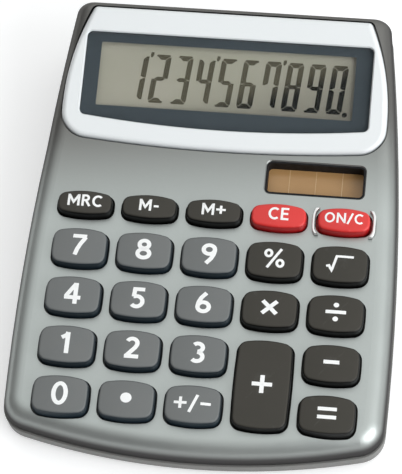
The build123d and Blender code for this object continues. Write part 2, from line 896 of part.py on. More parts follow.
upper_outer = upper_form(0, 0, rim_radius, rear_edge_radius)
lower_whole = lower_prism(-lower_ledge)
tipped = Pos(0, 0, deck_height) * tilt * (upper_outer + lower_whole) & above(foot_height)
tipped_box = tipped.bounding_box()
standing = Pos(0, -(tipped_box.min.Y + tipped_box.max.Y) / 2, deck_height) * tilt
standing_front = (tipped_box.min.Y - tipped_box.max.Y) / 2
standing_rear = -standing_front


# Tips a piece from the deck's frame to where it stands on the desk
def stand(piece):
    return standing * piece


floor_top = foot_height + wall
cell_bottom = foot_height + door_thickness + slide_gap
cell_top = cell_bottom + cell_height
cell_y = standing_rear - cell_from_rear
door_front = standing_rear - door_length
lead_end_y = cell_y - lead_run
cup_inner = cell_diameter / 2 + cell_gap
cup_ceiling = cell_top + cup_headroom
cup_top = cup_ceiling + cup_roof
tab_top = cup_top + contact_tab
side_contact_x = cell_x - cell_diameter / 2 - slide_gap - contact_thickness / 2
top_contact_y = cell_y + contact_reach
foot_places = [
    (-front_foot_x, standing_front + front_foot_from_front),
    (front_foot_x, standing_front + front_foot_from_front),
    (-rear_foot_x, standing_rear - rear_foot_from_rear),
    (rear_foot_x, standing_rear - rear_foot_from_rear),
]


# The outside of the lower housing, its edges rounded below and along the ledge at its top
def lower_outside():
    form = stand(lower_whole) & above(foot_height)
    bottom_face = form.faces().sort_by(Axis.Z)[0]
    form = fillet(bottom_face.edges(), lower_edge_radius)
    top_face = form.faces().sort_by(Axis.Z)[-1]
    return fillet(top_face.edges(), ledge_edge_radius)


lower_outer = lower_outside()


# A block from the door's front edge back through the rear wall
def door_block(width, front, low, high):
    depth = standing_rear + overrun - front
    return Pos(0, front + depth / 2, (low + high) / 2) * Box(width, depth, high - low)


def make_bottom_housing():
    shell = lower_outer - (stand(lower_prism(wall)) & above(floor_top))
    lip_outer = body_outline(wall * seam_lip_share + seam_gap)
    lip = extrude(Pos(0, 0, -top_depth) * (lip_outer - body_outline(wall)), seam_lip_height)
    shell += stand(lip)

    for x, y in post_places:
        well = bar(x, y, -body_length / 4, -top_depth, well_diameter)
        shell += stand(well) & lower_outer
        bore = bar(x, y, -body_length / 4, -top_depth - well_web, housing_screw_head + 2 * key_gap)
        hole = bar(x, y, -body_length / 4, overrun, housing_screw_diameter + 2 * fit_gap)
        shell -= stand(bore + hole)

    for side in (-1, 1):
        rib_y = side * rib_from_middle
        rib = Box(2 * rib_reach, rib_thickness, rib_height)
        shell += Pos(0, rib_y, floor_top + rib_height / 2) * rib

    # The battery cup with its slots for the two contacts
    shell += bar(cell_x, cell_y, floor_top, cup_top, 2 * (cup_inner + cup_wall))
    shell -= bar(cell_x, cell_y, foot_height, cup_ceiling, 2 * cup_inner)
    slot_width = contact_width + 2 * fit_gap
    slot_depth = contact_thickness + 2 * fit_gap
    shell -= Pos(cell_x, top_contact_y, cup_top) * Box(slot_width, slot_depth, 2 * cup_roof + overrun)
    side_slot = side_contact_width + 2 * fit_gap
    slot_height = cup_top - floor_top + overrun
    shell -= Pos(side_contact_x, cell_y, floor_top + slot_height / 2) * Box(
        slot_depth, side_slot, slot_height
    )

    # The door's bed, its grooves and the feet's recesses
    bed_top = foot_height + door_thickness + slide_gap
    shell -= door_block(door_width + 2 * door_gap, door_front - door_gap, 0, bed_top)
    groove_width = door_width + 2 * door_tongue + 2 * door_gap
    shell -= door_block(groove_width, door_front - door_gap, foot_height + door_lip, bed_top)
    for x, y in foot_places:
        shell -= bar(x, y, 0, foot_height + foot_recess, foot_diameter)
    return shell


def make_door():
    top = foot_height + door_thickness
    door = door_block(door_width, door_front, 0, top) & lower_outer
    tongue_low = top - door_tongue_thickness
    door += door_block(door_width + 2 * door_tongue, door_front, tongue_low, top) & lower_outer
    for grip in range(grip_count):
        y = door_front + grip_from_front + grip * grip_pitch
        ridge = Box(grip_length, grip_width, 2 * grip_height)
        door += Pos(0, y, foot_height) * ridge
    return door


def make_feet():
    feet = []
    for x, y in foot_places:
        foot = bar(x, y, 0, foot_height + foot_recess, foot_diameter)
        feet.append(fillet(foot.edges().sort_by(Axis.Z)[0], foot_edge))
    return feet


def make_cell():
    return bar(cell_x, cell_y, cell_bottom, cell_top, cell_diameter)


# A leaf that rises through the cup's roof, bends under it and presses on the cell
def make_negative_contact():
    under_roof = cup_ceiling - contact_thickness
    touch = cell_top + contact_thickness / 2 + slide_gap
    path = FilletPolyline(
        (cell_x, top_contact_y, tab_top),
        (cell_x, top_contact_y, under_roof),
        (cell_x, cell_y - contact_reach / 2, touch),
        radius=contact_bend,
    )
    section = Plane(origin=path @ 0, x_dir=(1, 0, 0), z_dir=path % 0)
    leaf = sweep(section * Rectangle(contact_width, contact_thickness), path)
    return leaf & above(cell_top + slide_gap / 2)


def make_positive_contact():
    height = tab_top - floor_top
    return Pos(side_contact_x, cell_y, (tab_top + floor_top) / 2) * Box(
        contact_thickness, side_contact_width, height
    )


# A lead from a contact's tab to the underside of the board
def make_lead(x, y, board):
    run_height = tab_top + lead_rise
    path = FilletPolyline(
        (x, y, tab_top),
        (x, y, run_height),
        (x, lead_end_y, run_height),
        (x, lead_end_y, run_height + overrun),
        radius=lead_bend,
    )
    wire = sweep(Plane(origin=path @ 0, z_dir=path % 0) * Circle(lead_diameter / 2), path)
    return (wire - board).solids().sort_by(Axis.Z)[0]


def make_housing_screws():
    head_bottom = -top_depth - well_web - housing_screw_head_height
    tip = -top_depth + housing_screw_grip
    return [
        screw(
            x,
            y,
            head_bottom,
            housing_screw_head_height,
            tip,
            housing_screw_diameter,
            housing_screw_head,
        )
        for x, y in post_places
    ]


# Writes one node as a STEP file; a group of like pieces stays separate solids
def write(name, shape):
    if isinstance(shape, list):
        shape = Compound(children=shape)
    shape.label = name
    export_step(shape, f"parts/{name}.step")


def main():
    os.makedirs("parts", exist_ok=True)
    board = stand(make_board())
    write("top_housing", stand(make_top_housing()))
    write("bottom_housing", make_bottom_housing())
    write("display_bezel", stand(make_bezel()))
    write("display_lens", stand(on_slope(lens_outline(), lens_back, lens_face)))
    write("lens_tape", stand(make_tape()))
    for name, layer in make_panel().items():
        write(name, stand(layer))
    write("lcd_bracket", stand(make_bracket()))
    write("bracket_screws", [stand(one) for one in make_bracket_screws()])
    write("lcd_ribbon", stand(make_ribbon()))
    write("solar_surround", stand(make_solar_surround()))
    write("solar_pad", stand(make_solar_pad()))
    write("solar_cell", stand(make_solar_cell()))
    write("solar_links", [stand(one) for one in make_solar_links()])
    write("key_mat", stand(make_key_mat()))
    write("main_board", board)
    write("board_screws", [stand(one) for one in make_board_screws()])
    write("chip_cover", stand(make_chip_cover()))
    write("capacitor", stand(make_capacitor()))
    write("resistors", [stand(one) for one in make_resistors()])
    write("battery_cell", make_cell())
    write("contact_negative", make_negative_contact())
    write("contact_positive", make_positive_contact())
    write("lead_negative", make_lead(cell_x, top_contact_y, board))
    write("lead_positive", make_lead(side_contact_x, cell_y, board))
    write("battery_door", make_door())
    write("rubber_feet", make_feet())
    write("housing_screws", [stand(one) for one in make_housing_screws()])
    made = {}
    for name, x, y, width, depth, corner in keys:
        size = (width, depth, corner)
        if size not in made:
            made[size] = make_key(*size)
        write(name, stand(Pos(x, y, 0) * made[size]))


main()
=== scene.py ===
import math
import bpy
from mathutils import Matrix, Vector


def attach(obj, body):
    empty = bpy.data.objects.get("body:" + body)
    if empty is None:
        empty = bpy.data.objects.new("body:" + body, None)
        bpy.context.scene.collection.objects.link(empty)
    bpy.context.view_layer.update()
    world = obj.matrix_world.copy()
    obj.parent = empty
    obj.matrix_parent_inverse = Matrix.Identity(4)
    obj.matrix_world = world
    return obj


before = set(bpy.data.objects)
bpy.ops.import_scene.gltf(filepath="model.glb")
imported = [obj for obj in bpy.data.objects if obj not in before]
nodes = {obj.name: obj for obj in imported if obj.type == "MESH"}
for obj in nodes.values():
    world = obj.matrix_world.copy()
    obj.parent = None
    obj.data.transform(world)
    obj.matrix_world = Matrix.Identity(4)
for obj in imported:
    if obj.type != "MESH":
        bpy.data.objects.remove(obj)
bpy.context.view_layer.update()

mm = 0.001

# The deck: x right, y towards the display, z out of it, all in mm
stance = {
    "deckTilt": 6.0,  # degrees, nose down
    "displayTilt": 8.0,  # degrees, on top of the deck's
    "deckHeight": 21.332,  # middle of the deck above the desk
    "setBack": -1.518,
    "displayStart": 22.902,  # where the display slope leaves the deck
}
deckSpace = Matrix.Translation((0, stance["setBack"] * mm, stance["deckHeight"] * mm))
deckSpace = deckSpace @ Matrix.Rotation(math.radians(stance["deckTilt"]), 4, "X")
slopeSpace = deckSpace @ Matrix.Translation((0, stance["displayStart"] * mm, 0))
slopeSpace = slopeSpace @ Matrix.Rotation(math.radians(stance["displayTilt"]), 4, "X")


def boxIn(space, name):  # lowest and highest corner of a node, seen from the deck or the slope, in mm
    back = space.inverted()
    spots = [back @ corner.co / mm for corner in nodes[name].data.vertices]
    return [Vector([pick(spot[i] for spot in spots) for i in range(3)]) for pick in (min, max)]


print("stage: the deck and the display slope are placed")


# Small helpers for wiring materials
def addNode(tree, kind, where=(0, 0), **settings):
    node = tree.nodes.new(kind)
    node.location = where
    for name, value in settings.items():
        setattr(node, name, value)
    return node


def feed(tree, node, terms):  # wires an input where its term is a socket, and sets it where it is a value
    for label, term in terms.items():
        if isinstance(term, bpy.types.NodeSocket):
            tree.links.new(term, node.inputs[label])
        else:
            node.inputs[label].default_value = term
    return node.outputs


def reckon(tree, where, operation, *terms, **settings):
    node = addNode(tree, "ShaderNodeMath", where, operation=operation, **settings)
    return feed(tree, node, dict(enumerate(terms)))[0]


def ramp(tree, where, value, span, ends=(0.0, 1.0)):  # smooth change between two ends over a span of values
    node = addNode(tree, "ShaderNodeMapRange", where, interpolation_type="SMOOTHSTEP")
    terms = {"Value": value, "From Min": span[0], "From Max": span[1], "To Min": ends[0], "To Max": ends[1]}
    return feed(tree, node, terms)["Result"]


def reachAlong(tree, where, socket, direction):
    node = addNode(tree, "ShaderNodeVectorMath", where, operation="DOT_PRODUCT")
    return feed(tree, node, {0: socket, 1: direction})["Value"]


def mixColours(tree, where, share, first, second):  # the last two are tones or sockets
    node = addNode(tree, "ShaderNodeMix", where, data_type="RGBA")
    first, second = ((*tone, 1) if isinstance(tone, tuple) else tone for tone in (first, second))
    return feed(tree, node, {0: share, 6: first, 7: second})[2]


def objectPlace(tree):  # where a point is on the object, and which way it faces
    return addNode(tree, "ShaderNodeTexCoord", (-1120, 260)).outputs


def sizedTexture(tree, kind, where, size, values):  # a pattern with features of a size given in mm
    scale = reckon(tree, (where[0] - 220, where[1]), "DIVIDE", 1 / mm, size)
    node = addNode(tree, kind, where)
    return feed(tree, node, {"Vector": objectPlace(tree)["Object"], "Scale": scale, **values})


def startGroup(name, inputs, outputs):
    tree = bpy.data.node_groups.new(name, "ShaderNodeTree")
    for label, value in inputs.items():
        socket = tree.interface.new_socket(name=label, in_out="INPUT", socket_type="NodeSocketFloat")
        socket.default_value = value
    for label in outputs:
        tree.interface.new_socket(name=label, in_out="OUTPUT", socket_type="NodeSocketFloat")
    given = addNode(tree, "NodeGroupInput", (-1120, 0)).outputs
    return tree, given, addNode(tree, "NodeGroupOutput", (700, 0))


def placeGroup(tree, group, where, values):
    return feed(tree, addNode(tree, "ShaderNodeGroup", where, node_tree=group), values)


# Fine grain left by the mould or the spray gun
grain = {"noise": {"Detail": 3.0, "Roughness": 0.62}, "speckle": (0.25, 0.75)}


def makeGrain():
    tree, given, end = startGroup("mouldGrain", {"Size mm": 0.25, "Spread": 0.5}, ["Height", "Speckle"])
    fine = sizedTexture(tree, "ShaderNodeTexNoise", (-480, 140), given["Size mm"], grain["noise"])
    cells = sizedTexture(tree, "ShaderNodeTexVoronoi", (-480, -180), given["Size mm"], {})
    height = reckon(tree, (-200, 60), "MULTIPLY_ADD", cells["Distance"], given["Spread"], fine["Fac"])
    speckle = ramp(tree, (40, -160), fine["Fac"], grain["speckle"])
    feed(tree, end, {"Height": height, "Speckle": speckle})
    return tree


# Broad uneven sheen from handling and from the paint's flow
sheen = {"noise": {"Detail": 5.0, "Roughness": 0.55, "Distortion": 0.4}, "patch": (0.3, 0.7)}


def makeSheen():
    numbers = {"Low": 0.35, "High": 0.5, "Patch mm": 22.0}
    tree, given, end = startGroup("handledSheen", numbers, ["Roughness", "Patch"])
    broad = sizedTexture(tree, "ShaderNodeTexNoise", (-480, 60), given["Patch mm"], sheen["noise"])
    patch = ramp(tree, (-240, 60), broad["Fac"], sheen["patch"])
    spread = addNode(tree, "ShaderNodeMapRange", (120, 120))
    gloss = feed(tree, spread, {"Value": patch, "To Min": given["Low"], "To Max": given["High"]})["Result"]
    feed(tree, end, {"Roughness": gloss, "Patch": patch})
    return tree


# Worn, slightly paler ridges: a mask that is 1 on sharp outer edges
edgeWear = {"noise": {"Detail": 4.0, "Roughness": 0.6}, "sharp": (0.515, 0.6), "gaps": (0.38, 0.62)}


def makeEdgeWear():
    tree, given, end = startGroup("edgeWear", {"Amount": 0.5, "Break mm": 1.2}, ["Mask"])
    shape = addNode(tree, "ShaderNodeNewGeometry", (-700, 220)).outputs
    edge = ramp(tree, (-460, 220), shape["Pointiness"], edgeWear["sharp"])
    broken = sizedTexture(tree, "ShaderNodeTexNoise", (-480, -120), given["Break mm"], edgeWear["noise"])
    gaps = ramp(tree, (-240, -120), broken["Fac"], edgeWear["gaps"])
    both = reckon(tree, (40, 60), "MULTIPLY", edge, gaps)
    feed(tree, end, {"Mask": reckon(tree, (280, 60), "MULTIPLY", both, given["Amount"], use_clamp=True)})
    return tree


# The way a surface faces: a mask that is 1 on faces turned away from the deck's own direction, used to
# paint shade on rims, flanks, key sides and walls
def makePaintedFlankShade():
    tree, given, end = startGroup("paintedFlankShade", {"Low": 0.2, "High": 0.9}, ["Mask"])
    tilt = math.radians(stance["deckTilt"])
    deckFaces = (0, -math.sin(tilt), math.cos(tilt))
    facing = reachAlong(tree, (-600, 100), objectPlace(tree)["Normal"], deckFaces)
    feed(tree, end, {"Mask": ramp(tree, (-200, 0), facing, (given["Low"], given["High"]), (1.0, 0.0))})
    return tree


# A slow change of tone from 0 to 1 along one direction, whose length stretches the mm, used to paint shade
# that deepens along it
def makeShadeFade(name, direction):
    tree, given, end = startGroup(name, {"From mm": -20.0, "To mm": 40.0}, ["Mask"])
    along = reachAlong(tree, (-600, 100), objectPlace(tree)["Object"], Vector(direction) / mm)
    feed(tree, end, {"Mask": ramp(tree, (-200, 0), along, (given["From mm"], given["To mm"]))})
    return tree


# The field of keys and the solar window: one mask is 1 on walls below the deck and paints shade into the
# holes, the other is 1 on the ribs above it and paints a highlight on them
holes = {  # mm on the deck
    "middle": (0.4, -19.2),
    "reach": (45.7, 41.3),  # half of the field, across and along
    "depth": (-0.6, -0.25),  # from fully dark to the deck's own tone
    "ridge": (0.15, 0.30),
    "wall": (0.3, 0.8),  # how far a wall turns from the deck's direction
}


def makeHoleShade():
    tree, _, end = startGroup("holeShade", {}, ["Mask", "RidgeHighlight"])
    turn = addNode(tree, "ShaderNodeMapping", (-700, 200), vector_type="TEXTURE")
    onDeck = feed(tree, turn, {
        "Vector": objectPlace(tree)["Object"],
        "Location": deckSpace.to_translation(), "Rotation": deckSpace.to_euler(),
    })[0]
    *ways, height = feed(tree, addNode(tree, "ShaderNodeSeparateXYZ", (-480, 200)), {0: onDeck})
    field = 1.0
    for axis, way in enumerate(ways):
        row = 300 - 200 * axis
        off = reckon(tree, (-260, row), "SUBTRACT", way, holes["middle"][axis] * mm)
        away = reckon(tree, (-80, row), "ABSOLUTE", off)
        inside = reckon(tree, (100, row), "LESS_THAN", away, holes["reach"][axis] * mm)
        field = reckon(tree, (280, row), "MULTIPLY", inside, field)
    depth, ridge = ([level * mm for level in holes[name]] for name in ("depth", "ridge"))
    below = ramp(tree, (100, -160), height, depth, (1.0, 0.0))
    above = ramp(tree, (100, -620), height, ridge)
    low, high = holes["wall"]
    upright = placeGroup(tree, paintedFlankGroup, (100, -400), {"Low": low, "High": high})["Mask"]
    wall = reckon(tree, (300, -260), "MULTIPLY", below, upright)
    feed(tree, end, {
        "Mask": reckon(tree, (480, 0), "MULTIPLY", wall, field),
        "RidgeHighlight": reckon(tree, (480, -300), "MULTIPLY", above, field),
    })
    return tree


grainGroup = makeGrain()
sheenGroup = makeSheen()
wearGroup = makeEdgeWear()
paintedFlankGroup = makePaintedFlankShade()
holeGroup = makeHoleShade()
# Painted shade: the display darkens towards its lower right, the body towards the display
shadeFadeGroups = {
    "display": makeShadeFade("displayShadeFade", (0.8, -2.2, 0)),  # to the lower right of the panel
    "body": makeShadeFade("bodyShadeFade", (-0.1, 1.0, 0)),  # towards the display
}
print("stage: grain, sheen, edge wear and shades are built")


def startMaterial(name):
    material = bpy.data.materials.new(name)
    material.use_nodes = True
    tree = material.node_tree
    return material, tree, tree.nodes["Principled BSDF"]


# A moulded or painted finish: two close tones, uneven sheen, fine grain, paler edges
usualFinish = {  # what a finish has where it gives nothing else
    "patch": 22.0,  # mm across one patch of sheen
    "spread": 0.4,  # share of the cells in the grain
    "break": 1.2,  # mm between two worn spots
    "relief": 0.02,  # mm
    "shader": {},
}


def makeFinish(name, look):
    look = {**usualFinish, **look}
    material, tree, shader = startMaterial(name)
    shader.location = (500, 0)
    material.diffuse_color = (*look["tone"], 1)
    texture = {"Size mm": look["grain"], "Spread": look["spread"]}
    grained = placeGroup(tree, grainGroup, (-700, -300), texture)
    low, high = look["gloss"]
    sheened = placeGroup(tree, sheenGroup, (-700, 0), {"Low": low, "High": high, "Patch mm": look["patch"]})
    worn = placeGroup(tree, wearGroup, (-700, 300), {"Amount": look["wear"], "Break mm": look["break"]})
    specks = reckon(tree, (-420, -160), "MULTIPLY", grained["Speckle"], look["speck"])
    colour = mixColours(tree, (-420, 60), sheened["Patch"], look["tone"], look["toneTwo"])
    colour = mixColours(tree, (-180, 60), specks, colour, look["speckTone"])
    colour = mixColours(tree, (60, 60), worn["Mask"], colour, look["edgeTone"])
    # Painted shade: a slow darkening along one direction
    if "fade" in look:
        low, high = look["fadeSpan"]
        shadeFaded = placeGroup(tree, shadeFadeGroups[look["fade"]], (-180, 760), {"From mm": low, "To mm": high})
        colour = mixColours(tree, (60, 700), shadeFaded["Mask"], colour, look["fadeShadeTone"])
    # Painted shade: faces turned away from the deck are darkened, standing in for the shade on rims, flanks
    # and key sides
    if "flankPaintedShade" in look:
        low, high = look["flankSpan"]
        paintedFlank = placeGroup(tree, paintedFlankGroup, (-180, 300), {"Low": low, "High": high})
        colour = mixColours(tree, (160, 300), paintedFlank["Mask"], colour, look["flankPaintedShade"])
    # Painted shade: the walls of the key holes and the solar window are darkened where shade falls
    if "holePaintedShade" in look:
        hole = placeGroup(tree, holeGroup, (-180, 520), {})
        colour = mixColours(tree, (160, 520), hole["Mask"], colour, look["holePaintedShade"])
        # Painted highlight: the guard ribs above the deck are made near white, standing in for the light
        # they catch
        colour = mixColours(tree, (340, 520), hole["RidgeHighlight"], colour, look["ridgePaintedHighlight"])
    bump = addNode(tree, "ShaderNodeBump", (240, -300))
    relief = {"Strength": look["bump"], "Distance": look["relief"] * mm, "Height": grained["Height"]}
    normal = feed(tree, bump, relief)["Normal"]
    feed(tree, shader, look["shader"])
    feed(tree, shader, {"Base Color": colour, "Roughness": sheened["Roughness"], "Normal": normal})
    return material


# Clear plastic or glass that lets lamp light through to what lies behind
clears = {
    "windowClear": {"tone": (0.97, 0.985, 0.99), "gloss": (0.015, 0.04), "ior": 1.16},
    "panelClear": {"tone": (0.90, 0.92, 0.86), "gloss": (0.02, 0.05), "ior": 1.5},
}
clearSkin = {
    "grain": {"Size mm": 0.8, "Spread": 0.3},
    "patch": 9.0,  # mm
    "bump": 0.02,
    "relief": 0.004,  # mm
    "shown": 0.3,  # opacity in the viewport
}


def makeClear(name, look):
    material, tree, shader = startMaterial(name)
    output = tree.nodes["Material Output"]
    output.location = (700, 0)
    material.diffuse_color = (*look["tone"], clearSkin["shown"])
    grained = placeGroup(tree, grainGroup, (-700, -300), clearSkin["grain"])
    low, high = look["gloss"]
    polish = {"Low": low, "High": high, "Patch mm": clearSkin["patch"]}
    sheened = placeGroup(tree, sheenGroup, (-700, 0), polish)
    bump = addNode(tree, "ShaderNodeBump", (-240, -300))
    normal = feed(tree, bump, {
        "Strength": clearSkin["bump"], "Distance": clearSkin["relief"] * mm, "Height": grained["Height"],
    })["Normal"]
    surface = feed(tree, shader, {
        "Base Color": (*look["tone"], 1), "IOR": look["ior"], "Transmission Weight": 1.0,
        "Roughness": sheened["Roughness"], "Normal": normal,
    })[0]
    through = addNode(tree, "ShaderNodeBsdfTransparent", (200, -200))
    through = feed(tree, through, {"Color": (*look["tone"], 1)})[0]
    rays = addNode(tree, "ShaderNodeLightPath", (200, 300)).outputs
    either = addNode(tree, "ShaderNodeMixShader", (450, 0))
    either = feed(tree, either, {0: rays["Is Shadow Ray"], 1: surface, 2: through})[0]
    feed(tree, output, {"Surface": either})
    return material


